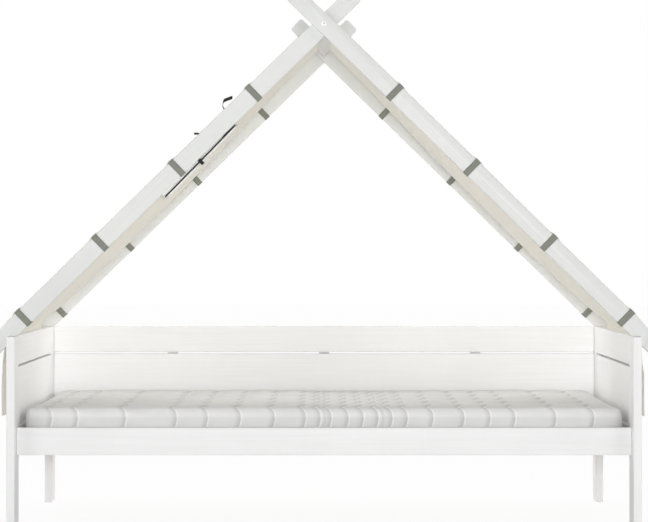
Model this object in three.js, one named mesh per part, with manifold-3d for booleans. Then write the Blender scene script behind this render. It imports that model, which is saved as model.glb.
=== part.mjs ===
// Teepee bed: a child's single bed with a pole tent standing on its end panels.
// Millimetres, +Z up, -Y is the open front, origin on the floor under the middle.
// A depth is measured back from the posts' front plane, a slope place down from the crossing.

import * as THREE from "three";
import { mergeVertices } from "three/addons/utils/BufferGeometryUtils.js";
import Module from "manifold-3d";

const wasm = await Module();
wasm.setup();

// Clearances
const fitGap = 0.3;
const cutOverrun = 2;
const roundSides = 12;

// Bed frame
const bedLength = 2070;
const bedDepth = 1020;
const panelTop = 650;
const boardThickness = 27;
const postDepth = 95;
const topBoardHeight = 96;
const middleBoardHeight = 190;
const boardSlit = 7;
const railHeight = 90;
const frontRailSetback = 45;
const battenWidth = 40;
const battenThickness = 12;
const battenPitch = 566;
const battenShortfall = 12;

// Slatted base
const cleatHeight = 20;
const cleatDepth = 25;
const slatWidth = 95;
const slatThickness = 15;
const slatEndPlay = 2;
const slatEndMargin = 30;
const slatCount = 10;

// Mattress
const mattressEndPlay = 18;
const mattressFrontPlay = 4;
const mattressBackPlay = 15;
const mattressThickness = 120;
const mattressCornerRadius = 55;
const mattressEdgeRadius = 35;
const mattressCrown = 6;
const mattressDrawIn = 5;
const quiltValley = 4;
const quiltWave = 12;
const quiltWaveLength = 220;
const quiltChannels = 22;

// Tent poles
const poleWidth = 56;
const poleThickness = 27;
const poleTipLength = 146;
const poleTailLength = 99;
const poleCornerRadius = 10;
const poleInset = 20.5;
const poleAngle = THREE.MathUtils.degToRad(44.3);
const ridgeBarSide = 31;

// Crossing bolts
const boltRadius = 4;
const boltHeadRadius = 9;
const boltHeadHeight = 4;
const boltHeadEdge = 1.5;
const boltBite = 50;

// Straps round the poles
const strapWidth = 21;
const strapThickness = 2;
const firstStrapPlace = 322.5;
const lastStrapMargin = 77.4;
const strapsPerPole = 4;

// Tent cloth
const clothThickness = 2;
const clothRidgeLift = 0.3;
const clothBelly = 32;
const clothCornerLift = 0.5;
const crossingCutPlay = 6;
const footCutOut = 25;
const flapDrop = 262;
const flapEdgeStandoff = 25;
const flapMiddleStandoff = 8;
const bellyPower = 2.5;

// Window in the left slope
const windowTop = 434;
const windowHeight = 345;
const windowNearDepth = 130;
const windowDepth = 230;
const rollDiameter = 25;
const bindingSize = 5;
const tieWidth = 12;
const tieThickness = 2;
const ribbonThickness = 2.5;
const tieTailRise = 80;
const tieTailReach = 15;
const hookRise = 84;
const hookReach = 34;

// Places that follow from the sizes above
const frontY = -bedDepth / 2;
const backY = bedDepth / 2;
const outerX = bedLength / 2;
const innerX = outerX - boardThickness;
const railTop = panelTop - topBoardHeight - middleBoardHeight - 2 * boardSlit;
const railFoot = railTop - railHeight;
const frontRailBack = frontY + frontRailSetback + boardThickness;
const backBoardBack = backY - battenThickness;
const backBoardFront = backBoardBack - boardThickness;
const cleatTop = railFoot + cleatHeight;
const slatFoot = cleatTop + fitGap;
const mattressFoot = slatFoot + slatThickness + fitGap;
const mattressLength = 2 * (innerX - mattressEndPlay);
const mattressFront = frontRailBack + mattressFrontPlay;
const mattressDepth = backBoardFront - mattressBackPlay - mattressFront;
const crossingHeight =
  panelTop + innerX * Math.tan(poleAngle) + poleWidth / 2 / Math.cos(poleAngle);

// Where a point of the X-Z plane lies on a slope: its place down the pole and its lift
const slopePlaceOf = (x, z) =>
  x * Math.cos(poleAngle) + (crossingHeight - z) * Math.sin(poleAngle);
const slopeLiftOf = (x, z) =>
  x * Math.sin(poleAngle) - (crossingHeight - z) * Math.cos(poleAngle);
const cornerPlace = slopePlaceOf(outerX, panelTop);
const strapPitch =
  (cornerPlace - lastStrapMargin - firstStrapPlace) / (strapsPerPole - 1);

// Depths of the poles' middles: the pair with feet on the right lies in front
const poleStep = poleThickness + fitGap;
const poleDepths = {
  front: { right: poleInset + poleThickness / 2, left: poleInset + poleThickness / 2 + poleStep },
  back: {
    right: bedDepth - poleInset - poleThickness / 2 - poleStep,
    left: bedDepth - poleInset - poleThickness / 2,
  },
};
const sideSigns = { left: -1, right: 1 };

// Materials
const finish = (color, roughness, metalness = 0) =>
  new THREE.MeshStandardMaterial({ color, roughness, metalness });
const lacquer = () => finish(0xebebeb, 0.45);
const slatWood = () => finish(0xd9bd92, 0.7);
const cover = () => finish(0xdcdcdc, 0.95);
const canvas = () => finish(0xd8d2c0, 0.95);
const greyWebbing = () => finish(0x8a8c83, 0.9);
const blackWebbing = () => finish(0x2a2a28, 0.85);
const whiteCap = () => finish(0xf0f0f0, 0.35);

const bed = new THREE.Group();

function addMesh(name, geometry, material, parent = bed) {
  const mesh = new THREE.Mesh(geometry, material);
  mesh.name = name;
  parent.add(mesh);
  return mesh;
}

// A board or bar from its ranges along X, Y and Z
function addBlock(name, xs, ys, zs, material = lacquer()) {
  const ranges = [xs, ys, zs];
  const mesh = addMesh(
    name,
    new THREE.BoxGeometry(...ranges.map(([low, high]) => high - low)),
    material,
  );
  mesh.position.set(...ranges.map(([low, high]) => (low + high) / 2));
  return mesh;
}

const sorted = (a, b) => (a < b ? [a, b] : [b, a]);

// Boolean helpers
function toSolid(geometry) {
  const bare = geometry.clone();
  bare.deleteAttribute("normal");
  bare.deleteAttribute("uv");
  const merged = mergeVertices(bare);
  return new wasm.Manifold(
    new wasm.Mesh({
      numProp: 3,
      vertProperties: Float32Array.from(merged.attributes.position.array),
      triVerts: Uint32Array.from(merged.index.array),
    }),
  );
}

function toGeometry(solid) {
  const { vertProperties, triVerts } = solid.getMesh();
  const geometry = new THREE.BufferGeometry();
  geometry.setAttribute("position", new THREE.BufferAttribute(vertProperties, 3));
  geometry.setIndex(new THREE.BufferAttribute(triVerts, 1));
  geometry.computeVertexNormals();
  return geometry;
}

// An indexed geometry from points and triangles
function meshOf(points, triangles) {
  const geometry = new THREE.BufferGeometry();
  geometry.setAttribute(
    "position",
    new THREE.Float32BufferAttribute(points.flatMap((p) => [p.x, p.y, p.z]), 3),
  );
  geometry.setIndex(triangles.flat());
  geometry.computeVertexNormals();
  return geometry;
}

// A closed body through rings of equally many points, with a fan over each end
function loft(rings) {
  const count = rings[0].length;
  const points = rings.flat();
  const triangles = [];
  rings.slice(1).forEach((_, r) => {
    for (let k = 0; k < count; k++) {
      const next = (k + 1) % count;
      const [a, b] = [r * count + k, r * count + next];
      const [c, d] = [a + count, b + count];
      triangles.push([a, b, d], [a, d, c]);
    }
  });
  [0, rings.length - 1].forEach((r) => {
    const middle = rings[r].reduce((sum, p) => sum.add(p), new THREE.Vector3());
    points.push(middle.divideScalar(count));
    for (let k = 0; k < count; k++) {
      const [a, b] = [r * count + k, r * count + ((k + 1) % count)];
      triangles.push(r === 0 ? [points.length - 1, b, a] : [points.length - 1, a, b]);
    }
  });
  return meshOf(points, triangles);
}

// A closed sheet over the wanted cells of a grid of points, lifted along its normals
function thickSheet(grid, wanted, lift, thickness) {
  const rows = grid.length;
  const columns = grid[0].length;
  const clampTo = (value, most) => Math.min(Math.max(value, 0), most);
  const normalAt = (i, j) => {
    const at = (a, b) => grid[clampTo(a, rows - 1)][clampTo(b, columns - 1)];
    const along = at(i + 1, j).clone().sub(at(i - 1, j));
    const across = at(i, j + 1).clone().sub(at(i, j - 1));
    return along.cross(across).normalize();
  };
  const points = [];
  grid.forEach((row, i) =>
    row.forEach((p, j) => {
      const normal = normalAt(i, j);
      points.push(p.clone().addScaledVector(normal, lift));
      points.push(p.clone().addScaledVector(normal, lift + thickness));
    }),
  );
  const low = (i, j) => 2 * (i * columns + j);
  const high = (i, j) => low(i, j) + 1;
  const has = (i, j) => i >= 0 && j >= 0 && i < rows - 1 && j < columns - 1 && wanted(i, j);
  const triangles = [];
  const quad = (a, b, c, d) => triangles.push([a, b, c], [a, c, d]);
  const wall = ([i, j], [k, l]) => quad(low(i, j), low(k, l), high(k, l), high(i, j));
  for (let i = 0; i < rows - 1; i++)
    for (let j = 0; j < columns - 1; j++) {
      if (!has(i, j)) continue;
      const corners = [[i, j], [i + 1, j], [i + 1, j + 1], [i, j + 1]];
      quad(...corners.map((c) => high(...c)));
      quad(...corners.map((c) => low(...c)).reverse());
      if (!has(i, j - 1)) wall(corners[0], corners[1]);
      if (!has(i + 1, j)) wall(corners[1], corners[2]);
      if (!has(i, j + 1)) wall(corners[2], corners[3]);
      if (!has(i - 1, j)) wall(corners[3], corners[0]);
    }
  return toGeometry(toSolid(meshOf(points, triangles)));
}

// Bed frame: posts, rails, panel boards and the battens that hold the back boards
function addBedFrame() {
  const postBoxes = { front: [frontY, frontY + postDepth], back: [backY - postDepth, backY] };
  const betweenPosts = [postBoxes.front[1] + fitGap, postBoxes.back[0] - fitGap];
  const acrossBed = [-innerX + fitGap, innerX - fitGap];
  const layers = [
    ["rail", railFoot, railTop],
    ["middle_board", railTop + boardSlit, railTop + boardSlit + middleBoardHeight],
    ["top_board", panelTop - topBoardHeight, panelTop],
  ];
  Object.entries(sideSigns).forEach(([side, sign]) => {
    const panelXs = sorted(sign * innerX, sign * outerX);
    Object.entries(postBoxes).forEach(([end, ys]) =>
      addBlock(`post_${end}_${side}`, panelXs, ys, [0, panelTop]),
    );
    layers.forEach(([layer, foot, top]) =>
      addBlock(`end_${layer}_${side}`, panelXs, betweenPosts, [foot, top]),
    );
  });
  layers.forEach(([layer, foot, top]) =>
    addBlock(`back_${layer}`, acrossBed, [backBoardFront, backBoardBack], [foot, top]),
  );
  addBlock(
    "front_rail",
    acrossBed,
    [frontRailBack - boardThickness, frontRailBack],
    [railFoot, railTop],
  );
  ["left", "middle", "right"].forEach((place, i) => {
    const x = (i - 1) * battenPitch;
    addBlock(
      `back_batten_${place}`,
      [x - battenWidth / 2, x + battenWidth / 2],
      [backBoardBack + fitGap, backY],
      [railFoot + battenShortfall, panelTop - battenShortfall],
    );
  });
}

// Slatted base: cleats on the long rails and loose slats across them
function addSlattedBase() {
  const xs = [-innerX + slatEndMargin, innerX - slatEndMargin];
  const nearCleat = [frontRailBack + fitGap, frontRailBack + fitGap + cleatDepth];
  const farCleat = [backBoardFront - fitGap - cleatDepth, backBoardFront - fitGap];
  addBlock("slat_cleat_front", xs, nearCleat, [railFoot, cleatTop], slatWood());
  addBlock("slat_cleat_back", xs, farCleat, [railFoot, cleatTop], slatWood());
  const pitch = (xs[1] - xs[0] - slatWidth) / (slatCount - 1);
  for (let i = 0; i < slatCount; i++) {
    const x = xs[0] + i * pitch;
    addBlock(
      `slat_${i + 1}`,
      [x, x + slatWidth],
      [frontRailBack + slatEndPlay, backBoardFront - slatEndPlay],
      [slatFoot, slatFoot + slatThickness],
      slatWood(),
    );
  }
}

// Half of the mattress's cross-section, from the bottom's middle to the top's middle:
// shares of the way to the side and of the thickness, with the round edges as arcs
const flatShares = [0, 0.6];
const edgeTurnShares = [0, 0.5, 1];
const topShares = [0.75, 0.38, 0];
const endTurnShares = [0.35, 0.65, 0.85, 1];

function mattressHalfSection(halfDepth, foot, top) {
  const r = Math.min(mattressEdgeRadius, (top - foot) / 2);
  const arc = (turns, startZ, sign) =>
    turns.map((t) => [
      halfDepth - r + r * Math.sin((t * Math.PI) / 2),
      startZ - sign * r * Math.cos((t * Math.PI) / 2),
    ]);
  const lower = arc(edgeTurnShares, foot + r, 1);
  const upper = arc([...edgeTurnShares].reverse(), top - r, -1);
  return [
    ...flatShares.map((share) => [share * (halfDepth - r), foot]),
    ...lower,
    ...upper,
    ...topShares.map((share) => [share * (halfDepth - r), top]),
  ];
}

// Mattress: crowned, drawn in at its sides, with wavy quilted channels across it
function addMattress() {
  const halfLength = mattressLength / 2;
  const straight = halfLength - mattressCornerRadius;
  const roundedBy = (x, radius) => {
    const past = Math.max(0, Math.abs(x) - (halfLength - radius));
    return radius - Math.sqrt(Math.max(0, radius * radius - past * past));
  };
  const steps = 2 * quiltChannels;
  const stations = [];
  for (let i = 0; i <= steps; i++)
    stations.push([straight * ((2 * i) / steps - 1), i % 2 === 0 ? 1 : 0]);
  endTurnShares.forEach((t) => {
    const x = straight + mattressCornerRadius * Math.sin((t * Math.PI) / 2);
    stations.push([x, 0]);
    stations.unshift([-x, 0]);
  });
  const rings = stations.map(([x, valley]) => {
    const along = x / halfLength;
    const halfDepth =
      mattressDepth / 2 -
      mattressDrawIn * (1 - along * along) -
      roundedBy(x, mattressCornerRadius);
    const edge = roundedBy(x, mattressEdgeRadius);
    const half = mattressHalfSection(halfDepth, edge, mattressThickness - edge);
    const section = [...half, ...half.slice(1, -1).reverse().map(([y, z]) => [-y, z])];
    return section.map(([y, z]) => {
      const across = y / halfDepth;
      const upper = THREE.MathUtils.smoothstep(z, 0, mattressThickness);
      const dent = quiltValley * valley * upper;
      const isTop = z > mattressThickness - edge - mattressEdgeRadius / 2;
      const crown = isTop ? mattressCrown * (1 - across * across) * (1 - along ** 4) : 0;
      const wave =
        quiltWave * Math.sin((2 * Math.PI * y) / quiltWaveLength) * upper * (1 - along ** 8);
      const drawn = mattressDrawIn * (1 - across * across) * along ** 7;
      return new THREE.Vector3(
        x + wave - drawn,
        y - dent * across ** 5,
        z + crown - dent * (1 - Math.abs(across) ** 5) * (isTop ? 1 : 0),
      );
    });
  });
  const mesh = addMesh("mattress", loft(rings), cover());
  mesh.position.set(0, mattressFront + mattressDepth / 2, mattressFoot);
}

// A frame on a slope: X runs down the pole from the crossing, Y outwards, Z level
function slopeFrame(side, depth) {
  const sign = sideSigns[side];
  const down = new THREE.Vector3(sign * Math.cos(poleAngle), 0, -Math.sin(poleAngle));
  const out = new THREE.Vector3(sign * Math.sin(poleAngle), 0, Math.cos(poleAngle));
  const frame = new THREE.Group();
  const place = new THREE.Matrix4()
    .makeBasis(down, out, down.clone().cross(out))
    .setPosition(0, frontY + depth, crossingHeight);
  frame.applyMatrix4(place);
  bed.add(frame);
  return frame;
}

// The point at a slope place, a lift off the poles' middle plane and a depth
function onSlope(side, place, lift, depth) {
  return new THREE.Vector3(
    sideSigns[side] * (place * Math.cos(poleAngle) + lift * Math.sin(poleAngle)),
    frontY + depth,
    crossingHeight - place * Math.sin(poleAngle) + lift * Math.cos(poleAngle),
  );
}

function roundedRectangle(x0, x1, y0, y1, radius) {
  const shape = new THREE.Shape();
  shape.moveTo(x0 + radius, y0);
  shape.lineTo(x1 - radius, y0);
  shape.absarc(x1 - radius, y0 + radius, radius, -Math.PI / 2, 0);
  shape.lineTo(x1, y1 - radius);
  shape.absarc(x1 - radius, y1 - radius, radius, 0, Math.PI / 2);
  shape.lineTo(x0 + radius, y1);
  shape.absarc(x0 + radius, y1 - radius, radius, Math.PI / 2, Math.PI);
  shape.lineTo(x0, y0 + radius);
  shape.absarc(x0 + radius, y0 + radius, radius, Math.PI, 1.5 * Math.PI);
  return shape;
}

function rectanglePath(halfX, halfY, Kind = THREE.Path) {
  return new Kind([
    new THREE.Vector2(-halfX, -halfY),
    new THREE.Vector2(halfX, -halfY),
    new THREE.Vector2(halfX, halfY),
    new THREE.Vector2(-halfX, halfY),
  ]);
}

// A slab of the given outline, its thickness centred on the outline's plane
function slab(shape, depth, curveSegments) {
  const geometry = new THREE.ExtrudeGeometry(shape, {
    depth,
    bevelEnabled: false,
    curveSegments,
  });
  return geometry.translate(0, 0, -depth / 2);
}

// The room that a post takes, a clearance larger, in the frame of a pole
function postRoom(side, frame, depth) {
  const sign = sideSigns[side];
  const grown = 2 * fitGap;
  const box = new THREE.BoxGeometry(boardThickness + grown, postDepth, panelTop + fitGap);
  box.translate(
    sign * (innerX + boardThickness / 2),
    frontY + depth,
    (panelTop + fitGap) / 2,
  );
  frame.updateMatrixWorld(true);
  box.applyMatrix4(frame.matrixWorld.clone().invert());
  return box;
}

// One pole: a flat bar, bored at the crossing and notched over the post's top
function addPole(end, side) {
  const depth = poleDepths[end][side];
  const frame = slopeFrame(side, depth);
  const bar = roundedRectangle(
    -poleTipLength,
    cornerPlace + poleTailLength,
    -poleWidth / 2,
    poleWidth / 2,
    poleCornerRadius,
  );
  const bore = new THREE.Path();
  bore.absarc(0, 0, boltRadius + fitGap, 0, 2 * Math.PI, true);
  bar.holes.push(bore);
  const blank = toSolid(slab(bar, poleThickness, roundSides / 2));
  const notched = blank.subtract(toSolid(postRoom(side, frame, depth)));
  addMesh(`pole_${end}_${side}`, toGeometry(notched), lacquer(), frame);
  addStraps(end, side, frame);
}

// The straps that tie the cloth to one pole
function addStraps(end, side, frame) {
  const innerHalfDepth = poleThickness / 2 + fitGap;
  const innerHalfWidth = poleWidth / 2 + fitGap;
  const ring = rectanglePath(
    innerHalfDepth + strapThickness,
    innerHalfWidth + strapThickness,
    THREE.Shape,
  );
  ring.holes.push(rectanglePath(innerHalfDepth, innerHalfWidth));
  for (let i = 0; i < strapsPerPole; i++) {
    const strap = addMesh(
      `strap_${end}_${side}_${i + 1}`,
      slab(ring, strapWidth, 1),
      greyWebbing(),
      frame,
    );
    strap.rotation.y = Math.PI / 2;
    strap.position.x = firstStrapPlace + i * strapPitch;
  }
}

// Ridge bar between the two crossings, on edge, with a blind bore in each end
const ridgeBarFront = poleDepths.front.left + poleThickness / 2 + fitGap;
const ridgeBarBack = poleDepths.back.right - poleThickness / 2 - fitGap;

function addRidgeBar() {
  const half = ridgeBarSide / 2;
  const side = half / Math.cos(poleAngle);
  const height = half / Math.sin(poleAngle);
  const corners = [[0, -side], [height, 0], [0, side], [-height, 0]];
  const shape = new THREE.Shape(corners.map(([x, z]) => new THREE.Vector2(x, z)));
  const length = ridgeBarBack - ridgeBarFront;
  let bar = toSolid(slab(shape, length, 1));
  [-1, 1].forEach((end) => {
    const bore = new THREE.CylinderGeometry(
      boltRadius + fitGap,
      boltRadius + fitGap,
      boltBite + fitGap + cutOverrun,
      roundSides,
    );
    bore.rotateX(Math.PI / 2);
    bore.translate(0, 0, end * (length / 2 - (boltBite + fitGap - cutOverrun) / 2));
    bar = bar.subtract(toSolid(bore));
  });
  const mesh = addMesh("ridge_bar", toGeometry(bar), lacquer());
  mesh.rotation.x = Math.PI / 2;
  mesh.position.set(0, frontY + (ridgeBarFront + ridgeBarBack) / 2, crossingHeight);
}

// A capped bolt through each crossing into the ridge bar
function addCrossingBolts() {
  const grip = 2 * poleThickness + 2 * fitGap + boltBite;
  const profile = [
    [0, -grip - fitGap],
    [boltRadius, -grip - fitGap],
    [boltRadius, 0],
    [boltHeadRadius, 0],
    [boltHeadRadius, boltHeadHeight - boltHeadEdge],
    [boltHeadRadius - boltHeadEdge, boltHeadHeight],
    [0, boltHeadHeight],
  ].map(([x, y]) => new THREE.Vector2(x, y));
  const faces = {
    front: poleDepths.front.right - poleThickness / 2 - fitGap,
    back: poleDepths.back.left + poleThickness / 2 + fitGap,
  };
  Object.entries(faces).forEach(([end, depth]) => {
    const geometry = new THREE.LatheGeometry(profile, roundSides);
    const mesh = addMesh(`crossing_bolt_${end}`, geometry, whiteCap());
    mesh.rotation.x = end === "front" ? Math.PI : 0;
    mesh.position.set(0, frontY + depth, crossingHeight);
  });
}

// Cloth surface: flat over the poles and straps, bellied between them
const clothLift = poleWidth / 2 + 2 * fitGap + strapThickness;
const bellyStart = poleDepths.front.left + poleThickness / 2 + 2 * fitGap + strapThickness;
const bellyEnd = poleDepths.back.right - poleThickness / 2 - 2 * fitGap - strapThickness;
const cornerLift = slopeLiftOf(outerX, panelTop) + clothCornerLift;
const ridgeLift = ridgeBarSide / 2 + fitGap + clothRidgeLift;
const barEdgePlace = ridgeBarSide / 2 + fitGap;
const crossingCutOut = poleWidth / 2 + crossingCutPlay;
const wideEnd = cornerPlace - footCutOut;

function bellyShare(depth) {
  const across = THREE.MathUtils.clamp((depth - bellyStart) / (bellyEnd - bellyStart), 0, 1);
  return 1 - (2 * across - 1) ** 2;
}

function clothLiftAt(place, depth) {
  const along = THREE.MathUtils.clamp(
    (place - barEdgePlace) / (cornerPlace - barEdgePlace),
    0,
    1,
  );
  const chord = THREE.MathUtils.lerp(ridgeLift, cornerLift, along);
  const middle = chord - clothBelly * (1 - Math.abs(2 * along - 1) ** bellyPower);
  return THREE.MathUtils.lerp(clothLift, middle, bellyShare(depth));
}

const clothPoint = (side, place, depth) =>
  onSlope(side, place, clothLiftAt(place, depth), depth);

// The cloth over the ridge lies where its two slopes meet
function ridgePoint(depth) {
  const lift = clothLiftAt(0, depth) / Math.cos(poleAngle);
  return new THREE.Vector3(0, frontY + depth, crossingHeight + lift);
}

// The flap outside an end panel, from the slope's foot down to its hem
function flapPoint(side, share, depth) {
  const top = clothPoint(side, cornerPlace, depth);
  const standoff = THREE.MathUtils.lerp(flapEdgeStandoff, flapMiddleStandoff, bellyShare(depth));
  const hem = new THREE.Vector3(
    sideSigns[side] * (outerX + standoff),
    frontY + depth,
    panelTop - flapDrop,
  );
  return top.lerp(hem, share);
}

// Cloth grid: depth lines between the poles' faces, and stations from hem to hem
const windowFarDepth = windowNearDepth + windowDepth;
const bellyDepthShares = [0.22, 0.42, 0.62, 0.8, 0.92];
const clothDepths = [
  bellyStart - 2 * poleStep,
  bellyStart - poleStep,
  bellyStart,
  windowNearDepth,
  (windowNearDepth + windowFarDepth) / 2,
  windowFarDepth,
  ...bellyDepthShares.map((share) => THREE.MathUtils.lerp(windowFarDepth, bellyEnd, share)),
  bellyEnd,
  bellyEnd + poleStep,
  bellyEnd + 2 * poleStep,
];
const windowFoot = windowTop + windowHeight;
const windowShares = [0, 0.25, 0.5, 0.75, 1];
const upperShares = [0.4, 0.72];
const lowerShares = [0.17, 0.36, 0.56, 0.78];
const flapShares = [0.04, 0.3, 0.65, 1];

function addTentCloth() {
  const places = [
    barEdgePlace,
    crossingCutOut,
    ...upperShares.map((share) => THREE.MathUtils.lerp(crossingCutOut, windowTop, share)),
    ...windowShares.map((share) => windowTop + share * windowHeight),
    ...lowerShares.map((share) => THREE.MathUtils.lerp(windowFoot, wideEnd, share)),
    wideEnd,
    cornerPlace,
  ];
  const halfStations = (side) => [
    ...places.map((place) => ({ place, at: (depth) => clothPoint(side, place, depth) })),
    ...flapShares.map((share) => ({
      place: Infinity,
      at: (depth) => flapPoint(side, share, depth),
    })),
  ];
  const leftStations = halfStations("left").reverse();
  const stations = [...leftStations, { place: 0, at: ridgePoint }, ...halfStations("right")];
  const grid = stations.map((station) => clothDepths.map(station.at));
  const last = clothDepths.length - 2;
  const wanted = (i, j) => {
    const isLeft = i < leftStations.length;
    const upper = Math.min(stations[i].place, stations[i + 1].place);
    const lower = Math.max(stations[i].place, stations[i + 1].place);
    const inWindow =
      isLeft &&
      upper >= windowTop &&
      lower <= windowFoot &&
      clothDepths[j] >= windowNearDepth &&
      clothDepths[j] < windowFarDepth;
    if (inWindow) return false;
    if (upper < crossingCutOut) return j >= 2 && j <= last - 2;
    if (lower > wideEnd) return isLeft ? j >= 2 && j <= last - 1 : j >= 1 && j <= last - 2;
    return isLeft ? j >= 1 : j <= last - 1;
  };
  addMesh("tent_cloth", thickSheet(grid, wanted, 0, clothThickness), canvas());
}

// Window: black binding round the opening, and the flap rolled up along its far edge
const rollFar = windowFarDepth - 2 * fitGap - tieThickness - fitGap;
const rollMiddle = rollFar - rollDiameter / 2;
const bindingFar = rollFar - rollDiameter - fitGap;
const windowEnds = [windowTop + 2 * fitGap, windowFoot - 2 * fitGap];
const rollLift = (place) => clothLiftAt(place, rollMiddle) + clothThickness / 2;

function addWindowRoll() {
  const rings = windowShares.map((share) => {
    const place = THREE.MathUtils.lerp(...windowEnds, share);
    return Array.from({ length: roundSides }, (_, k) => {
      const turn = (2 * Math.PI * k) / roundSides;
      return onSlope(
        "left",
        place,
        rollLift(place) + (rollDiameter / 2) * Math.cos(turn),
        rollMiddle + (rollDiameter / 2) * Math.sin(turn),
      );
    });
  });
  addMesh("window_flap_roll", loft(rings), canvas());
}

function addWindowBinding() {
  const [top, foot] = windowEnds;
  const places = [
    top,
    top + bindingSize,
    ...windowShares.slice(1, -1).map((share) => THREE.MathUtils.lerp(top, foot, share)),
    foot - bindingSize,
    foot,
  ];
  const near = windowNearDepth + 2 * fitGap;
  const depths = [near, near + bindingSize, bindingFar - bindingSize, bindingFar];
  const grid = places.map((place) =>
    depths.map((depth) => clothPoint("left", place, depth)),
  );
  const wanted = (i, j) => i === 0 || i === places.length - 2 || j !== 1;
  const lift = clothThickness / 2 - bindingSize / 2;
  const geometry = thickSheet(grid.reverse(), wanted, lift, bindingSize);
  addMesh("window_binding", geometry, blackWebbing());
}

// The outline of a ribbon along a path in the X-Z plane
function ribbonOutline(path, thickness) {
  const points = path.map(([x, z]) => new THREE.Vector2(x, z));
  const side = (sign) =>
    points.map((p, i) => {
      const before = points[Math.max(i - 1, 0)];
      const after = points[Math.min(i + 1, points.length - 1)];
      const along = after.clone().sub(before).normalize();
      const normal = new THREE.Vector2(-along.y, along.x);
      return p.clone().addScaledVector(normal, (sign * thickness) / 2);
    });
  return new THREE.Shape([...side(1), ...side(-1).reverse()]);
}

// A ribbon whose width lies along the depth, in the row frame
function ribbon(path, thickness, width, depth) {
  const geometry = slab(ribbonOutline(path, thickness), width, 1);
  return geometry.rotateX(Math.PI / 2).translate(0, frontY + depth, 0);
}

// Middle tie: a band round the roll, with a loose tail that stands up outside
const tieTailShares = [
  [0, 0],
  [0.3, 0.45],
  [0, 0.93],
  [-0.2, 0.99],
  [-1, 1],
];

function addWindowTie() {
  const place = (windowTop + windowFoot) / 2;
  const near = bindingFar - bindingSize - fitGap - tieThickness;
  const far = rollFar + fitGap + tieThickness;
  const halfLift = rollDiameter / 2 + fitGap + tieThickness;
  const ring = rectanglePath((far - near) / 2, halfLift, THREE.Shape);
  ring.holes.push(rectanglePath((far - near) / 2 - tieThickness, halfLift - tieThickness));
  const frame = slopeFrame("left", (near + far) / 2);
  const band = slab(ring, tieWidth, 1);
  band.rotateY(Math.PI / 2).translate(place, rollLift(place), 0);
  frame.updateMatrixWorld(true);
  band.applyMatrix4(frame.matrixWorld);
  bed.remove(frame);
  const root = onSlope("left", place, rollLift(place) + halfLift - tieThickness / 2, rollMiddle);
  const path = tieTailShares.map(([x, z]) => [
    root.x + x * tieTailReach,
    root.z + z * tieTailRise,
  ]);
  const tail = ribbon(path, ribbonThickness, tieWidth, rollMiddle);
  addMesh("window_tie", toGeometry(toSolid(band).add(toSolid(tail))), blackWebbing());
}

// Upper ribbon: a loose end sewn on at the window's top corner, bent over like a hook
const hookShares = [
  [0, 0],
  [-0.82, 0.55],
  [-1, 0.69],
  [-0.9, 0.87],
  [-0.1, 1],
];

function addWindowRibbon() {
  const depth = windowFarDepth + tieWidth;
  const place = windowTop;
  const lift = clothLiftAt(place, depth) + clothThickness + ribbonThickness / 2 + fitGap;
  const root = onSlope("left", place, lift, depth);
  const path = hookShares.map(([x, z]) => [root.x + x * hookReach, root.z + z * hookRise]);
  addMesh("window_ribbon", ribbon(path, ribbonThickness, tieWidth, depth), blackWebbing());
}

addBedFrame();
addSlattedBase();
addMattress();
["front", "back"].forEach((end) => ["left", "right"].forEach((side) => addPole(end, side)));
addRidgeBar();
addCrossingBolts();
addTentCloth();
addWindowRoll();
addWindowBinding();
addWindowTie();
addWindowRibbon();

export default bed;
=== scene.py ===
# %% [markdown]
# # A child's teepee bed
# The bed is a low frame of white lacquered boards with a quilted mattress, and a pole tent with a
# canvas cover stands on its two ends. The construction comes in as fixed solids at their real
# size. This lesson gives every board, pole, strap and cloth its finish, and makes the soft
# pieces anew: the mattress, the canvas, the straps and the rolled-up window. Lengths are in
# metres, +Z is up, and the open side of the bed faces -Y.

# %% Load the construction
import math

import bmesh
import bpy
from mathutils import Matrix, Vector


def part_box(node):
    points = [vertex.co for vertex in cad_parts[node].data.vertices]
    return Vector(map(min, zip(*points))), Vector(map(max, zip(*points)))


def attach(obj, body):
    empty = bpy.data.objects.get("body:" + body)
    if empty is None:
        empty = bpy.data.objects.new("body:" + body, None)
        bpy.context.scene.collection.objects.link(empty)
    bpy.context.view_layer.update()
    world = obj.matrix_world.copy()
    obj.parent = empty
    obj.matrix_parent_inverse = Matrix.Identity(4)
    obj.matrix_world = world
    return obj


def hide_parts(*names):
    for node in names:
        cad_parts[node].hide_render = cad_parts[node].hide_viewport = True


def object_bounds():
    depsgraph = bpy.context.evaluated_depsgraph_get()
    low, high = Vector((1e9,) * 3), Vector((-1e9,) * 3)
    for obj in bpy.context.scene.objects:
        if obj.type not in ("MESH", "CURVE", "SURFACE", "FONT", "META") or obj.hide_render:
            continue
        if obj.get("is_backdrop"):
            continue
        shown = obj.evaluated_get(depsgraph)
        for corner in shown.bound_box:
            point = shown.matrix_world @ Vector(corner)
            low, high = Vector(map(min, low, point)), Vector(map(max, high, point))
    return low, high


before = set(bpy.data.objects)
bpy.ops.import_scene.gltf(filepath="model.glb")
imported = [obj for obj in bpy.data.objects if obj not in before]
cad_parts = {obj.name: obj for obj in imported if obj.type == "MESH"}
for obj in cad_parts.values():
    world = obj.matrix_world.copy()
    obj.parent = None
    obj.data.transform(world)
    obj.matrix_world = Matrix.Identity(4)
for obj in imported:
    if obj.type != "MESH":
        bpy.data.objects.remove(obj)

cad_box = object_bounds()
scene = bpy.context.scene
print("construction:", len(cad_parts), "nodes, box", [list(corner) for corner in cad_box])

# %% [markdown]
# ## The camera
# The picture is taken level, from straight ahead and from far off, so that the poles hardly
# converge. A long lens does that. The horizon lies a little above the picture's middle row, and a
# small vertical shift puts it there while the camera stays level, which keeps the posts upright.

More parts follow.
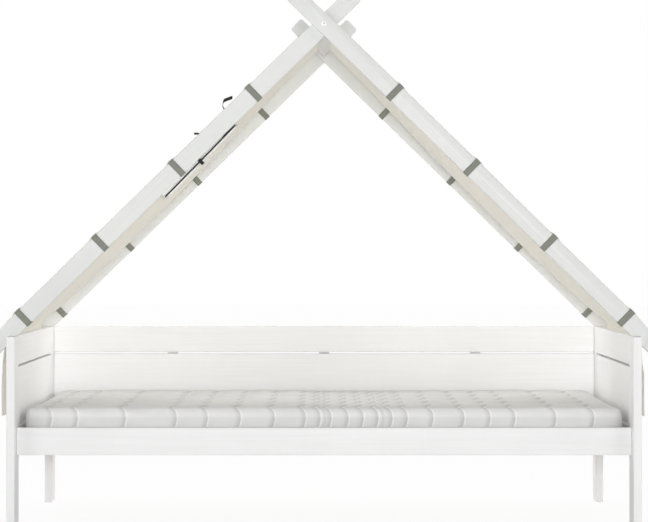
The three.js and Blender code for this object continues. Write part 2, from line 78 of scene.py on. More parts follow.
# %% Place the camera
photo_width, photo_height = 648, 522
focal_pixels = 2058
horizon_row = 253
camera_distance = 6.7
eye_height = 0.923
front_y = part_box("post_front_left")[0].y

camera = bpy.data.cameras.new("camera")
camera.sensor_width = 36
camera.lens = camera.sensor_width * focal_pixels / photo_width
camera.shift_y = (horizon_row - photo_height / 2) / photo_width
camera_object = bpy.data.objects.new("camera", camera)
camera_object.location = (0, front_y - camera_distance, eye_height)
camera_object.rotation_euler = (math.pi / 2, 0, 0)
scene.collection.objects.link(camera_object)
scene.camera = camera_object
scene.view_settings.view_transform = "Standard"
print(f"camera: lens {camera.lens:.1f} mm, shift {camera.shift_y:.4f}")

# %% [markdown]
# ## Shader maths as Python
# A finish is a small graph of nodes. Written node by node it is long and hard to read, so one
# class stands for a socket and turns `+`, `-` and `*` into Math nodes, and another stands for a
# material and makes every other node. After that a pattern reads like a formula. Two shaders are
# mixed the same way in the world, the floor and the cloth, so one function does that.

# %% Sockets
class Socket:
    """A number or a vector in a finish. An operator on it adds a Math node."""

    def __init__(self, finish, link):
        self.finish = finish
        self.link = link

    def math(self, operation, *values):
        return self.finish.math(operation, self, *values)

    def __add__(self, other):
        return self.math("ADD", other)

    def __mul__(self, other):
        return self.math("MULTIPLY", other)

    def __sub__(self, other):
        return self.math("SUBTRACT", other)

    def __rsub__(self, other):
        return self.finish.math("SUBTRACT", other, self)

    def __abs__(self):
        return self.math("ABSOLUTE")

    __radd__ = __add__
    __rmul__ = __mul__

    def rise(self, start, end):
        """0 before start and 1 after end, or the other way round if start is past end."""
        ends = {"From Min": start, "From Max": end}
        return self.finish.node(
            "ShaderNodeMapRange", {"interpolation_type": "SMOOTHSTEP"}, {"Value": self, **ends}
        )


print("sockets can be added, subtracted and multiplied")


# %% Finishes
def mix_shaders(tree, factor, first, second, output):
    """Shows the first shader where the factor is 0 and the second where it is 1."""
    mixed = tree.nodes.new("ShaderNodeMixShader")
    if isinstance(factor, float):
        mixed.inputs[0].default_value = factor
    else:
        tree.links.new(factor, mixed.inputs[0])
    for place, shader in enumerate((first, second), 1):
        tree.links.new(shader.outputs[0], mixed.inputs[place])
    tree.links.new(mixed.outputs[0], tree.nodes[output].inputs["Surface"])


class Finish:
    """A material with one Principled shader, and the nodes that feed it."""

    def __init__(self, name, **shader):
        self.material = bpy.data.materials.new(name)
        self.material.use_nodes = True
        self.tree = self.material.node_tree
        self.shader = self.tree.nodes["Principled BSDF"]
        for socket, value in shader.items():
            self.feed(self.shader.inputs[socket.replace("_", " ")], value)

    def feed(self, socket, value):
        if isinstance(value, Socket):
            self.tree.links.new(value.link, socket)
        else:
            socket.default_value = value

    def node(self, kind, settings=None, inputs=None, output=0):
        made = self.tree.nodes.new(kind)
        for name, value in (settings or {}).items():
            setattr(made, name, value)
        for socket, value in (inputs or {}).items():
            self.feed(made.inputs[socket], value)
        return Socket(self, made.outputs[output])

    def math(self, operation, *values):
        return self.node("ShaderNodeMath", {"operation": operation}, dict(enumerate(values)))

    def sine(self, value, wave_length):
        return (value * (math.tau / wave_length)).math("SINE")

    def ripple(self, value, wave_length):
        """A sine that goes from 0 to 1."""
        return self.sine(value, wave_length) * 0.5 + 0.5

    def place(self, turn=(0, 0, 0), scale=(1, 1, 1)):
        """The place on the object, turned and then scaled."""
        at = self.node("ShaderNodeTexCoord", output="Object")
        turned = self.node("ShaderNodeMapping", {}, {"Vector": at, "Rotation": turn})
        return self.node("ShaderNodeMapping", {}, {"Vector": turned, "Scale": scale})

    def flat_place(self, scale=(1, 1, 1)):
        """The place on the flat cut of a cloth, in metres, scaled."""
        at = self.node("ShaderNodeUVMap", {"uv_map": "flat"})
        return self.node("ShaderNodeMapping", {}, {"Vector": at, "Scale": scale})

    def parts(self, vector):
        split = self.tree.nodes.new("ShaderNodeSeparateXYZ")
        self.feed(split.inputs[0], vector)
        return [Socket(self, out) for out in split.outputs]

    def attribute(self, name):
        return self.node("ShaderNodeAttribute", {"attribute_name": name}, output="Fac")

    def noise(self, vector, scale, detail=2.0, roughness=0.5):
        values = {"Vector": vector, "Scale": scale, "Detail": detail, "Roughness": roughness}
        return self.node("ShaderNodeTexNoise", {}, values)

    def mix(self, factor, first, second):
        """From the first colour to the second as factor goes from 0 to 1."""
        values = {0: factor, 6: first, 7: second}
        return self.node("ShaderNodeMix", {"data_type": "RGBA"}, values, output=2)

    def paint(self, **sockets):
        for name, value in sockets.items():
            self.feed(self.shader.inputs[name.replace("_", " ")], value)

    def relief(self, height, depth, strength):
        """Bumps the surface by height, from 0 to 1, which stands for depth in metres."""
        values = {"Height": height, "Distance": depth, "Strength": strength}
        self.feed(self.shader.inputs["Normal"], self.node("ShaderNodeBump", {}, values))

    def let_light_through(self, colour, share):
        """Lets a share of the light pass through the surface, as thin cloth does."""
        through = self.tree.nodes.new("ShaderNodeBsdfTranslucent")
        through.inputs["Color"].default_value = colour
        mix_shaders(self.tree, share, self.shader, through, "Material Output")


def shade(red, green, blue):
    """A colour written from 0 to 255, as the light that a renderer counts in."""
    scaled = [value / 255 for value in (red, green, blue)]
    return (*[v / 12.92 if v < 0.04045 else ((v + 0.055) / 1.055) ** 2.4 for v in scaled], 1.0)


print("a white of 235 is", round(shade(235, 235, 235)[0], 3), "as light")

# %% [markdown]
# ## Light, floor and background
# The picture has a pure white background and almost no shadow, also deep inside the bed. One
# lamp stands beside the camera and reaches all that the camera sees, also the back poles. Another
# hangs under the ridge, where the camera can't see it, and fills the room under the tent. Both
# have a constant falloff, so that what lies far away isn't darker. Broad suns do the rest in
# pairs: from ahead for the insides of the two ends, from behind through the canvas, and from
# beside for the flaps. Two high ones brighten all that faces up. All are kept low enough that
# neither the front nor the back of the bed turns pure white. The camera sees the world and the
# floor as white whatever the light does, and the floor keeps a small part of its own shading, so
# that the bed's feet leave a faint shadow.

# %% Make the background white
def seen_directly(tree):
    """1 for the rays that should find a white background: the camera's, and those in gloss."""
    path = tree.nodes.new("ShaderNodeLightPath")
    seen = path.outputs["Is Camera Ray"]
    for other in ("Is Glossy Ray", "Is Transmission Ray"):
        either = tree.nodes.new("ShaderNodeMath")
        either.operation = "MAXIMUM"
        tree.links.new(seen, either.inputs[0])
        tree.links.new(path.outputs[other], either.inputs[1])
        seen = either.outputs[0]
    return seen


world_light = 0.03
world = bpy.data.worlds.new("studio")
world.use_nodes = True
scene.world = world
world_tree = world.node_tree
ambient = world_tree.nodes["Background"]
ambient.inputs["Strength"].default_value = world_light
backdrop = world_tree.nodes.new("ShaderNodeBackground")
for background in (ambient, backdrop):
    background.inputs["Color"].default_value = (1, 1, 1, 1)
mix_shaders(world_tree, seen_directly(world_tree), ambient, backdrop, "World Output")
print("world: light", world_light, "on the bed, and 1 for the camera")


# %% Hang the lamps
def add_lamp(name, lamp, away):
    """Puts a lamp in the scene with its back turned to the direction away."""
    lamp_object = bpy.data.objects.new(name, lamp)
    lamp_object.rotation_euler = away.to_track_quat("Z", "Y").to_euler()
    scene.collection.objects.link(lamp_object)
    return lamp_object


def add_sun(name, strength, width, turned, raised):
    """A broad sun, turned from straight ahead towards the right and raised above the floor."""
    lamp = bpy.data.lights.new(name, "SUN")
    lamp.energy = strength
    lamp.angle = math.radians(width)
    turned, raised = math.radians(turned), math.radians(raised)
    level = math.cos(raised)
    away = Vector((math.sin(turned) * level, -math.cos(turned) * level, math.sin(raised)))
    add_lamp(name, lamp, away)


def add_even_lamp(name, power, size, place, target):
    """A square lamp whose light is as strong far away as close by."""
    lamp = bpy.data.lights.new(name, "AREA")
    lamp.energy = power
    lamp.size = size
    lamp.use_nodes = True
    nodes = lamp.node_tree.nodes
    falloff = nodes.new("ShaderNodeLightFalloff")
    falloff.inputs["Strength"].default_value = 1.0
    lamp.node_tree.links.new(falloff.outputs["Constant"], nodes["Emission"].inputs["Strength"])
    lamp_object = add_lamp(name, lamp, Vector(place) - Vector(target))
    lamp_object.location = place
    lamp_object.visible_camera = False


beside_camera, bed_middle = (0.1, front_y - camera_distance - 0.3, 1.05), (0, 0, 0.8)
under_ridge, on_mattress = (0, 0, 1.4), (0, 0, 0.4)
add_even_lamp("ahead", power=3.4, size=1.0, place=beside_camera, target=bed_middle)
add_even_lamp("under_ridge", power=1.0, size=0.6, place=under_ridge, target=on_mattress)

# Each sun has its strength, and then its width, turn and height in degrees.
sun_pairs = {
    "from": (0.8, 30, 53, 13),
    "behind": (1.15, 60, 142, 33),
    "beside": (0.65, 20, 100, 20),
}
for name, (strength, width, turned, raised) in sun_pairs.items():
    add_sun(f"{name}_right", strength, width, turned, raised)
    add_sun(f"{name}_left", strength, width, -turned, raised)
add_sun("high_ahead", strength=0.1, width=40, turned=0, raised=65)
add_sun("high_behind", strength=0.45, width=50, turned=180, raised=62)
print("lamps:", ", ".join(lamp.name for lamp in bpy.data.lights))

# %% Lay the floor
floor_radius, floor_segments = 30, 64
floor_white_share, floor_grey = 0.94, 0.75
floor_mesh = bmesh.new()
bmesh.ops.create_circle(floor_mesh, cap_ends=True, segments=floor_segments, radius=floor_radius)
floor_data = bpy.data.meshes.new("floor")
floor_mesh.to_mesh(floor_data)
floor = bpy.data.objects.new("floor", floor_data)
scene.collection.objects.link(floor)
floor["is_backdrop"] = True
floor_finish = Finish("floor", Base_Color=(floor_grey,) * 3 + (1,), Roughness=0.9)
floor_tree = floor_finish.tree
glow = floor_tree.nodes.new("ShaderNodeEmission")
white_share = Socket(floor_finish, seen_directly(floor_tree)) * floor_white_share
mix_shaders(floor_tree, white_share.link, floor_finish.shader, glow, "Material Output")
floor.data.materials.append(floor_finish.material)
print("floor:", floor_radius * 2, "m across, shaded to", round(1 - floor_white_share, 2))

# %% [markdown]
# ## Lacquered boards and poles
# Boards of this kind are planed, rounded over along every edge and sprayed with satin white
# lacquer. The solids have knife-sharp edges, which no real board has. The solid itself is left as
# it is, and a copy is merged, its flat sides are joined to single faces and its edges are
# bevelled. That is quicker than making each board again, and the copy is sure to fit. Under the
# lacquer the wood's grain still shows as a faint relief that runs along the board. The slats
# under the mattress are bare pine, striped by its year rings.

# %% White lacquer
board_whites = shade(235, 235, 235), shade(241, 241, 241)
# Painted shade: the poles get the boards' lacquer painted a little darker, because they catch more
# light than the boards.
pole_shaded_whites = shade(219, 220, 218), shade(225, 226, 224)
grain_length, grain_width = 0.35, 0.009
relief_depth = 0.0003


def lacquer(name, run, whites=board_whites, turn=(0, 0, 0)):
    """White lacquer on wood whose grain runs along X, Y or Z after the turn."""
    finish = Finish(name, Coat_Weight=0.12, Coat_Roughness=0.25, Specular_IOR_Level=0.35)
    scale = [1 / grain_width] * 3
    scale["XYZ".index(run)] = 1 / grain_length
    grain = finish.noise(finish.place(turn, scale), scale=1.0, detail=3, roughness=0.6)
    spray = finish.noise(finish.place(), scale=260.0, detail=1)
    clouds = finish.noise(finish.place(), scale=2.5)
    tone = grain * 0.45 + clouds * 0.55
    finish.paint(
        Base_Color=finish.mix(tone.rise(0.3, 0.7), *whites),
        Roughness=0.38 + spray * 0.1 + grain * 0.06,
    )
    finish.relief(grain * 0.7 + spray * 0.3, relief_depth, strength=0.5)
    return finish.material


pole_angle = math.radians(44.3)
lacquers = {
    "along_x": lacquer("lacquer_along_x", "X"),
    "along_y": lacquer("lacquer_along_y", "Y"),
    "along_z": lacquer("lacquer_along_z", "Z"),
    "left": lacquer("lacquer_left_pole", "X", pole_shaded_whites, (0, pole_angle, 0)),
    "right": lacquer("lacquer_right_pole", "X", pole_shaded_whites, (0, -pole_angle, 0)),
}
print("lacquers:", ", ".join(lacquers))

# %% Planed pine for the slats
pine_light, pine_dark = shade(226, 196, 150), shade(196, 158, 108)
rings_per_metre, rings_along = 42.0, 2.2


def pine(name, run):
    """Bare pine whose year rings run along X or Y."""
    finish = Finish(name, Specular_IOR_Level=0.3)
    scale = [rings_per_metre] * 3
    scale["XYZ".index(run)] = rings_along
    place = finish.place(scale=scale)
    rings = finish.noise(place, scale=1.0, detail=4, roughness=0.55)
    pores = finish.noise(place, scale=9.0)
    bands = finish.ripple(rings, wave_length=0.16)
    finish.paint(
        Base_Color=finish.mix(bands * 0.55 + pores * 0.3, pine_light, pine_dark),
        Roughness=0.55 + pores * 0.2,
    )
    finish.relief(bands * 0.4 + pores * 0.6, relief_depth, strength=0.6)
    return finish.material


pines = {"along_x": pine("pine_along_x", "X"), "along_y": pine("pine_along_y", "Y")}
print("pines:", ", ".join(pines))

# %% Round the edges of a copy
bed_body, mattress_body = "bed_and_tent", "mattress"
sharp_angle, flat_angle = math.radians(40), math.radians(0.5)
merge_distance = 0.00001


def add_piece(name, mesh, body, slot, *materials):
    """Turns a bmesh into a piece that rides on a body, in the given finishes."""
    data = bpy.data.meshes.new(name)
    mesh.to_mesh(data)
    mesh.free()
    piece = bpy.data.objects.new(name, data)
    scene.collection.objects.link(piece)
    for material in materials:
        data.materials.append(material)
    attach(piece, body)
    return piece


def rounded_copy(node, radius, slot, material):
    """A copy of a solid with its sharp edges rounded, which stands in for that solid."""
    mesh = bmesh.new()
    mesh.from_mesh(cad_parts[node].data)
    bmesh.ops.remove_doubles(mesh, verts=mesh.verts, dist=merge_distance)
    bmesh.ops.dissolve_limit(
        mesh, angle_limit=flat_angle, verts=mesh.verts, edges=mesh.edges
    )
    sharp = [e for e in mesh.edges if e.is_manifold and e.calc_face_angle() > sharp_angle]
    bmesh.ops.bevel(
        mesh,
        geom=sharp,
        offset=radius,
        segments=3,
        profile=0.5,
        affect="EDGES",
        clamp_overlap=True,
        material=-1,
    )
    piece = add_piece(f"{node}_rounded", mesh, bed_body, slot, material)
    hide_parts(node)
    return piece


# %% Finish the boards, the slats and the poles
board_edge, batten_edge, slat_edge, pole_edge = 0.0025, 0.0015, 0.002, 0.002
layers = ("rail", "middle_board", "top_board")
sides = {"left": -1, "right": 1}
ends = ("front", "back")

rounded = []
for side in sides:
    for end in ends:
        post, pole = f"post_{end}_{side}", f"pole_{end}_{side}"
        rounded.append(rounded_copy(post, board_edge, "white_lacquer", lacquers["along_z"]))
        rounded.append(rounded_copy(pole, pole_edge, "white_lacquer", lacquers[side]))
    for layer in layers:
        board = f"end_{layer}_{side}"
        rounded.append(rounded_copy(board, board_edge, "white_lacquer", lacquers["along_y"]))
for board in ("front_rail", *[f"back_{layer}" for layer in layers]):
    rounded.append(rounded_copy(board, board_edge, "white_lacquer", lacquers["along_x"]))
for place in ("left", "middle", "right"):
    batten = f"back_batten_{place}"
    rounded.append(rounded_copy(batten, batten_edge, "white_lacquer", lacquers["along_z"]))
rounded.append(rounded_copy("ridge_bar", batten_edge, "white_lacquer", lacquers["along_y"]))
for cleat in ("slat_cleat_front", "slat_cleat_back"):
    rounded.append(rounded_copy(cleat, batten_edge, "slat_wood", pines["along_x"]))
slats = sorted(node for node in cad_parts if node.startswith("slat_") and "cleat" not in node)
for slat in slats:
    rounded.append(rounded_copy(slat, slat_edge, "slat_wood", pines["along_y"]))
print("rounded copies:", len(rounded), "with", sum(len(p.data.polygons) for p in rounded), "faces")

# %% [markdown]
# ## The slopes of the tent
# Both slopes are easiest to think of in their own directions: how far a point lies down the slope
# from the crossing of the poles, how far it is lifted off the poles' middle, and how far back it
# is. All the soft pieces of the tent are placed that way, from sizes read off the frame.

# %% Places on a slope
gap = 0.0003
outer_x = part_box("post_front_right")[1].x
panel_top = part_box("post_front_right")[1].z
bar_low, bar_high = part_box("ridge_bar")
crossing_height = (bar_low.z + bar_high.z) / 2
pole_width = 0.056
pole_low, pole_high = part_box("pole_front_right")
pole_thickness = pole_high.y - pole_low.y
pole_step = pole_thickness + gap
strap_thickness = 0.002


def on_slope(side, place, lift, y):
    """The point at a place down a slope, a lift off the poles' middle, and a depth y."""
    return Vector((
        side * (place * math.cos(pole_angle) + lift * math.sin(pole_angle)),
        y,
        crossing_height - place * math.sin(pole_angle) + lift * math.cos(pole_angle),
    ))


def slope_place(x, z):
    return abs(x) * math.cos(pole_angle) + (crossing_height - z) * math.sin(pole_angle)


def slope_lift(x, z):
    return abs(x) * math.sin(pole_angle) - (crossing_height - z) * math.cos(pole_angle)


print(f"crossing at {crossing_height:.4f}, poles {pole_thickness * 1000:.0f} mm thick")

# %% [markdown]
# ## Cloth, tape and webbing
# Cloth is cut flat and then hung, folded or rolled. The pieces here are made in that order: a
# flat rectangle is sliced into a grid with `bisect_plane`, the parts that the tailor would cut
# away are deleted, and then every point is moved from its flat place to its place on the tent.
# The flat place stays on each point as a UV map in metres, so that weave and stitches keep their
# size wherever the cloth goes. A Solidify modifier gives the thickness.

# %% Cut flat
cut_tolerance, round_off = 0.000001, 0.001


def lines_between(stops, pitch):
    """The stops, with evenly spaced lines between them that are at most a pitch apart."""
    lines = []
    for low, high in zip(stops, stops[1:]):
        steps = max(1, math.ceil((high - low) / pitch - round_off))
        lines += [low + (high - low) * i / steps for i in range(steps)]
    return lines + [stops[-1]]


def slice_at(mesh, axis, lines):
    """Cuts a row of edges into the mesh at each line along an axis."""
    direction = Vector((axis == 0, axis == 1, axis == 2))
    for line in lines:
        bmesh.ops.bisect_plane(
            mesh,
            geom=[*mesh.verts, *mesh.edges, *mesh.faces],
            dist=cut_tolerance,
            plane_co=direction * line,
            plane_no=direction,
        )


def flat_cut(across_stops, along_stops, pitch, wanted=None, along_pitch=None):
    """A flat grid between the outer stops, without the faces whose middle isn't wanted."""
    mesh = bmesh.new()
    low = Vector((across_stops[0], along_stops[0], 0))
    high = Vector((across_stops[-1], along_stops[-1], 0))
    bmesh.ops.create_grid(mesh, x_segments=1, y_segments=1, size=0.5)
    bmesh.ops.scale(mesh, vec=(high.x - low.x, high.y - low.y, 1), verts=mesh.verts)
    bmesh.ops.translate(mesh, vec=(low + high) / 2, verts=mesh.verts)
    slice_at(mesh, 0, lines_between(across_stops, pitch)[1:-1])
    slice_at(mesh, 1, lines_between(along_stops, along_pitch or pitch)[1:-1])
    if wanted:
        middles = {face: face.calc_center_median() for face in mesh.faces}
        spare = [face for face, at in middles.items() if not wanted(at.x, at.y)]
        bmesh.ops.delete(mesh, geom=spare, context="FACES")
    flat = mesh.loops.layers.uv.new("flat")
    for face in mesh.faces:
        for loop in face.loops:
            loop[flat].uv = loop.vert.co.xy
    return mesh


print("a metre in steps of 0.3 m at most:", lines_between([0, 1], 0.3))


# %% Hang, thicken and lay along a route
def smooth_faces(mesh):
    mesh.normal_update()
    for face in mesh.faces:
        face.smooth = True


def hang(mesh, where):
    """Moves every point of a flat cut from its flat place to where(across, along)."""
    for vert in mesh.verts:
        vert.co = where(vert.co.x, vert.co.y)
    smooth_faces(mesh)


def thicken(piece, thickness, inner_finish=0):
    """Gives a cloth its thickness, half of it on each side, and its inside a finish."""
    solidify = piece.modifiers.new("thickness", "SOLIDIFY")
    solidify.thickness = thickness
    solidify.offset = 0.0
    solidify.material_offset = inner_finish
    solidify.use_even_offset = True


def smooth_over(piece):
    """Rounds off the facets of a piece."""
    subdivide = piece.modifiers.new("smooth", "SUBSURF")
    subdivide.levels = subdivide.render_levels = 1


class Route:
    """A bent line through points, read by the distance along it."""

    def __init__(self, points):
        self.points = points
        self.marks = [0.0]
        for a, b in zip(points, points[1:]):
            self.marks.append(self.marks[-1] + (b - a).length)

    def at(self, distance):
        last = len(self.marks) - 2
        i = next((i for i in range(last) if distance < self.marks[i + 1]), last)
        share = (distance - self.marks[i]) / (self.marks[i + 1] - self.marks[i])
        return self.points[i].lerp(self.points[i + 1], share)


square_corner = Route([Vector((0, 0)), Vector((1, 0)), Vector((1, 1))])
print("halfway round a square corner:", list(square_corner.at(square_corner.marks[-1] / 2)))

# %% [markdown]
# ## A cloth simulation that can be repeated
# Padding and sag come out of a simulation better than out of a formula, because the cloth finds
# its own folds. Points that are sewn or held stay pinned. The simulation runs for a few frames,
# its result is written into the mesh, and no point may move further than a cap, so that the
# piece stays in the room that its solid holds. Where there is less room, a point may go only a
# share of the cap. Cloth has no randomness, so it repeats exactly.

# %% Simulate and keep the result
def settle(
    piece, held, frames, cap, gravity=0.0, pressure=0.0, growth=0.0, stiffness=15.0, shares=None
):
    """Lets the cloth settle with its held points pinned, and keeps where the points end.

    No point moves further than the cap, or than its share of the cap where shares are given.
    """
    pins = piece.vertex_groups.new(name="held")
    for index, weight in enumerate(held):
        if weight > 0:
            pins.add([index], weight, "REPLACE")
    cloth = piece.modifiers.new("cloth", "CLOTH")
    settings = cloth.settings
    settings.quality = 6
    settings.mass = 0.3
    settings.air_damping = 4
    settings.tension_stiffness = settings.compression_stiffness = stiffness
    settings.shear_stiffness = stiffness / 2
    settings.bending_stiffness = 0.3
    settings.shrink_min = -growth
    settings.vertex_group_mass = pins.name
    settings.use_pressure = pressure > 0
    settings.uniform_pressure_force = pressure
    settings.effector_weights.gravity = gravity
    cloth.collision_settings.use_collision = False
    cloth.collision_settings.use_self_collision = False
    cloth.point_cache.frame_start = 1
    cloth.point_cache.frame_end = frames
    for number in range(1, frames + 1):
        scene.frame_set(number)
    shown = piece.evaluated_get(bpy.context.evaluated_depsgraph_get())
    ended = [vert.co.copy() for vert in shown.data.vertices]
    piece.modifiers.remove(cloth)
    piece.vertex_groups.remove(pins)
    scene.frame_set(1)
    furthest = 0.0
    for vert, end in zip(piece.data.vertices, ended):
        move = end - vert.co
        furthest = max(furthest, move.length)
        allowed = cap * (shares[vert.index] if shares else 1.0)
        if move.length > allowed:
            move *= allowed / move.length
        vert.co += move
    piece.data.update()
    print(f"{piece.name}: settled, moved by up to {furthest * 1000:.1f} mm, cap {cap * 1000:.0f}")

# %% [markdown]
# ## The mattress
# The mattress is foam in a white knitted cover. The cover is quilted in wavy rows that run from
# front to back, and it puffs up between the rows. A cube is sliced along every row and rounded
# off, its rows are bent into waves, and the rows and the flat underside are pinned while a little
# air pressure fills the channels between them. The slices lie close to each row, so that the
# dip along the thread stays narrow. Each row is painted as a light line, a painted highlight, with
# painted shade on the cloth at its left, so each point knows how far it is from its row and on
# which side.

# %% Slice and round the mattress
mattress_low, mattress_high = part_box("mattress")
side_inset, top_inset = 0.004, 0.0095
corner_round, edge_round = 0.045, 0.022
left_seams = [-0.905, -0.820, -0.662, -0.494, -0.392, -0.283, -0.171, -0.069, -0.020]
middle_seams = [0.016, 0.072, 0.122, 0.171, 0.217, 0.267]
right_seams = [0.352, 0.454, 0.540, 0.622, 0.757, 0.882]
seam_places = left_seams + middle_seams + right_seams
seam_dip = 0.0026
seam_half_width = 0.005
mattress_pitch, mattress_side_pitch = 0.019, 0.012
wave_reach, wave_peak = 0.011, 0.085
waves_round, calm_end = 12, 0.06
touching = 0.0001

rest_z = mattress_low.z
low = mattress_low + Vector((side_inset, side_inset, 0))
high = mattress_high - Vector((side_inset, side_inset, top_inset))
middle, half = (low + high) / 2, (high - low) / 2
thick, deep = high.z - low.z, high.y - low.y
wave_length = 2 * (thick + deep) / waves_round


def girth(co):
    """How far a point lies round the mattress, up the front and back over the top."""
    if co.z > high.z - touching:
        return thick + co.y - low.y
    if co.y > high.y - touching:
        return thick + deep + high.z - co.z
    return co.z - low.z if co.y < low.y + touching else low.y - co.y


x_stops = [low.x, high.x]
for seam in seam_places:
    x_stops += [seam - seam_half_width, seam, seam + seam_half_width]
x_lines = lines_between(sorted(x_stops), mattress_pitch)
y_lines = lines_between([low.y, high.y], mattress_pitch)
z_lines = lines_between([low.z, high.z], mattress_side_pitch)

mesh = bmesh.new()
bmesh.ops.create_cube(mesh, size=2.0)
bmesh.ops.scale(mesh, vec=half, verts=mesh.verts)
bmesh.ops.translate(mesh, vec=middle, verts=mesh.verts)
for axis, lines in enumerate((x_lines, y_lines, z_lines)):
    slice_at(mesh, axis, lines[1:-1])
print("mattress:", len(mesh.verts), "points in", len(seam_places) + 1, "channels")

# %% Bend its rows into waves
def rounded_place(co, dip):
    """A point of the cube on a mattress with rounded corners and edges, let in by dip."""
    off = co - middle
    sign = Vector([math.copysign(1, value) for value in off])
    into_corner = Vector([max(0.0, abs(o) - h + corner_round) for o, h in zip(off.xy, half.xy)])
    drawn = into_corner.copy()
    if into_corner.x > 0 and into_corner.y > 0:
        drawn *= max(into_corner) / into_corner.length
    to_side = min(half.x - abs(off.x), half.y - abs(off.y))
    to_top = half.z - abs(off.z)
    out, up = max(0.0, edge_round - to_side), max(0.0, edge_round - to_top)
    shrink = max(out, up) / math.hypot(out, up)
    near_end = half.x - abs(off.x) < half.y - abs(off.y)
    plan = drawn.normalized() if min(into_corner) > 0 else Vector((near_end, not near_end))
    plan_step = plan * (out * (shrink - 1))
    place = Vector((*(Vector([abs(v) for v in off.xy]) - into_corner + drawn + plan_step), 0))
    place.z = abs(off.z) + up * (shrink - 1)
    outward = Vector((*(plan * out), up)).normalized()
    place -= outward * dip
    return middle + Vector([value * s for value, s in zip(place, sign)])


row_mark = mesh.verts.layers.float.new("row_distance")
side_mark = mesh.verts.layers.float.new("row_side")
girth_mark = mesh.verts.layers.float.new("girth")
mattress_held = []
for vert in mesh.verts:
    co = vert.co.copy()
    row_side = co.x - min(seam_places, key=lambda seam: abs(co.x - seam))
    row_distance = abs(row_side)
    round_way = girth(co)
    calm = min(1.0, (half.x - abs(co.x - middle.x)) / calm_end)
    wave = wave_reach * calm * math.cos(math.tau * (round_way - wave_peak) / wave_length)
    on_underside = co.z < low.z + touching
    dip = seam_dip * max(0.0, 1 - row_distance / seam_half_width)
    vert.co = rounded_place(co, 0.0 if on_underside else dip) + Vector((wave, 0, 0))
    vert[row_mark] = row_distance
    vert[side_mark] = row_side
    vert[girth_mark] = round_way
    mattress_held.append(1.0 if row_distance < touching or on_underside else 0.0)
smooth_faces(mesh)
print("rows bent by up to", wave_reach * 1000, "mm, one wave each", round(wave_length, 3), "m")

# %% Quilted knit
cover_white, cover_shade = shade(250, 250, 249), shade(200, 200, 199)
loop_wide, loop_long = 0.0022, 0.0026
stitch_wide, stitch_long = (0.0011, 0.0004), 0.005
# Widths of the painted highlight on each row and of the painted shade at its left.
row_highlight_width, row_shadow, row_left = (0.0034, 0.0012), (0.026, 0.003), (0.0, -0.0015)
# Where the rounded top edge of the mattress is painted lighter, as a painted highlight.
edge_highlight_start, edge_highlight_end = (thick - 0.036, thick - 0.024), (thick + 0.02, thick + 0.004)
knit_depth = 0.0006
knit = Finish("quilted_knit", Sheen_Weight=0.2, Sheen_Roughness=0.5, Specular_IOR_Level=0.2)
knit_place = knit.place()
loop_x, loop_y, loop_z = knit.parts(knit_place)
loops = knit.sine(loop_x, loop_wide) * knit.sine(loop_y + loop_z, loop_long)
fuzz = knit.noise(knit_place, scale=700.0)
soft_tone = knit.noise(knit_place, scale=9.0, detail=3)
row_distance = knit.attribute("row_distance")
round_way, row_side = knit.attribute("girth"), knit.attribute("row_side")
stitch = row_distance.rise(*stitch_wide) * knit.sine(round_way, stitch_long).rise(-0.5, 0.1)
painted_shade_beside_row = row_distance.rise(*row_shadow) * row_side.rise(*row_left)
painted_row_highlight = row_distance.rise(*row_highlight_width)
painted_edge_highlight = round_way.rise(*edge_highlight_start) * round_way.rise(*edge_highlight_end)
# The tone mixes random soft tone with painted light: painted shade beside each row, and painted
# highlights on each row and on the rounded top edge.
tone = painted_shade_beside_row * 0.36 + soft_tone * 0.25 - painted_edge_highlight * 0.26 + 0.46 - painted_row_highlight * 0.4
knit.paint(
    Base_Color=knit.mix(tone, cover_white, cover_shade),
    Roughness=0.86 + fuzz * 0.1,
)
knit.relief(loops * 0.25 + fuzz * 0.35 + stitch * 0.8, knit_depth, strength=0.7)
print("quilted knit:", len(knit.tree.nodes), "nodes")

# %% Fill the mattress
mattress = add_piece("mattress_cover", mesh, mattress_body, "quilted_cover", knit.material)
settle(mattress, mattress_held, frames=20, cap=0.005, pressure=2.5, growth=0.015)
for vert in mattress.data.vertices:
    vert.co.z = max(vert.co.z, rest_z)
smooth_over(mattress)
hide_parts("mattress")

# %% [markdown]
# ## Canvas and webbing
# The cover is plain cotton canvas. Its outside is pale, and its inside is painted darker and
# warmer, as painted shade, since less light reaches it. Its threads are about a millimetre apart,
# with a thicker slub here and there. Each point of the cloth knows how far it is from the nearest
# cut edge, and the hem's stitches follow that. Such thin cloth also lets some light through, so a
# Translucent shader is mixed in; without it the inside of the tent would be as dark as under a
# board. Where the window's flap is rolled up there are many layers, which let nothing through,
# and the roll's canvas is painted whiter than the rest, as painted light. The straps are ribbed
# webbing.

# %% Canvas
thread_pitch = 0.0011
hem_width, hem_step = 0.012, (0.002, -0.001)
stitch_length, stitch_edges = 0.0045, (0.0009, 0.0003)
slub_scale, slub_stretch = 900, 25
canvas_depth = 0.0005
cloth_clearness = 0.54
light_through = shade(236, 237, 237)


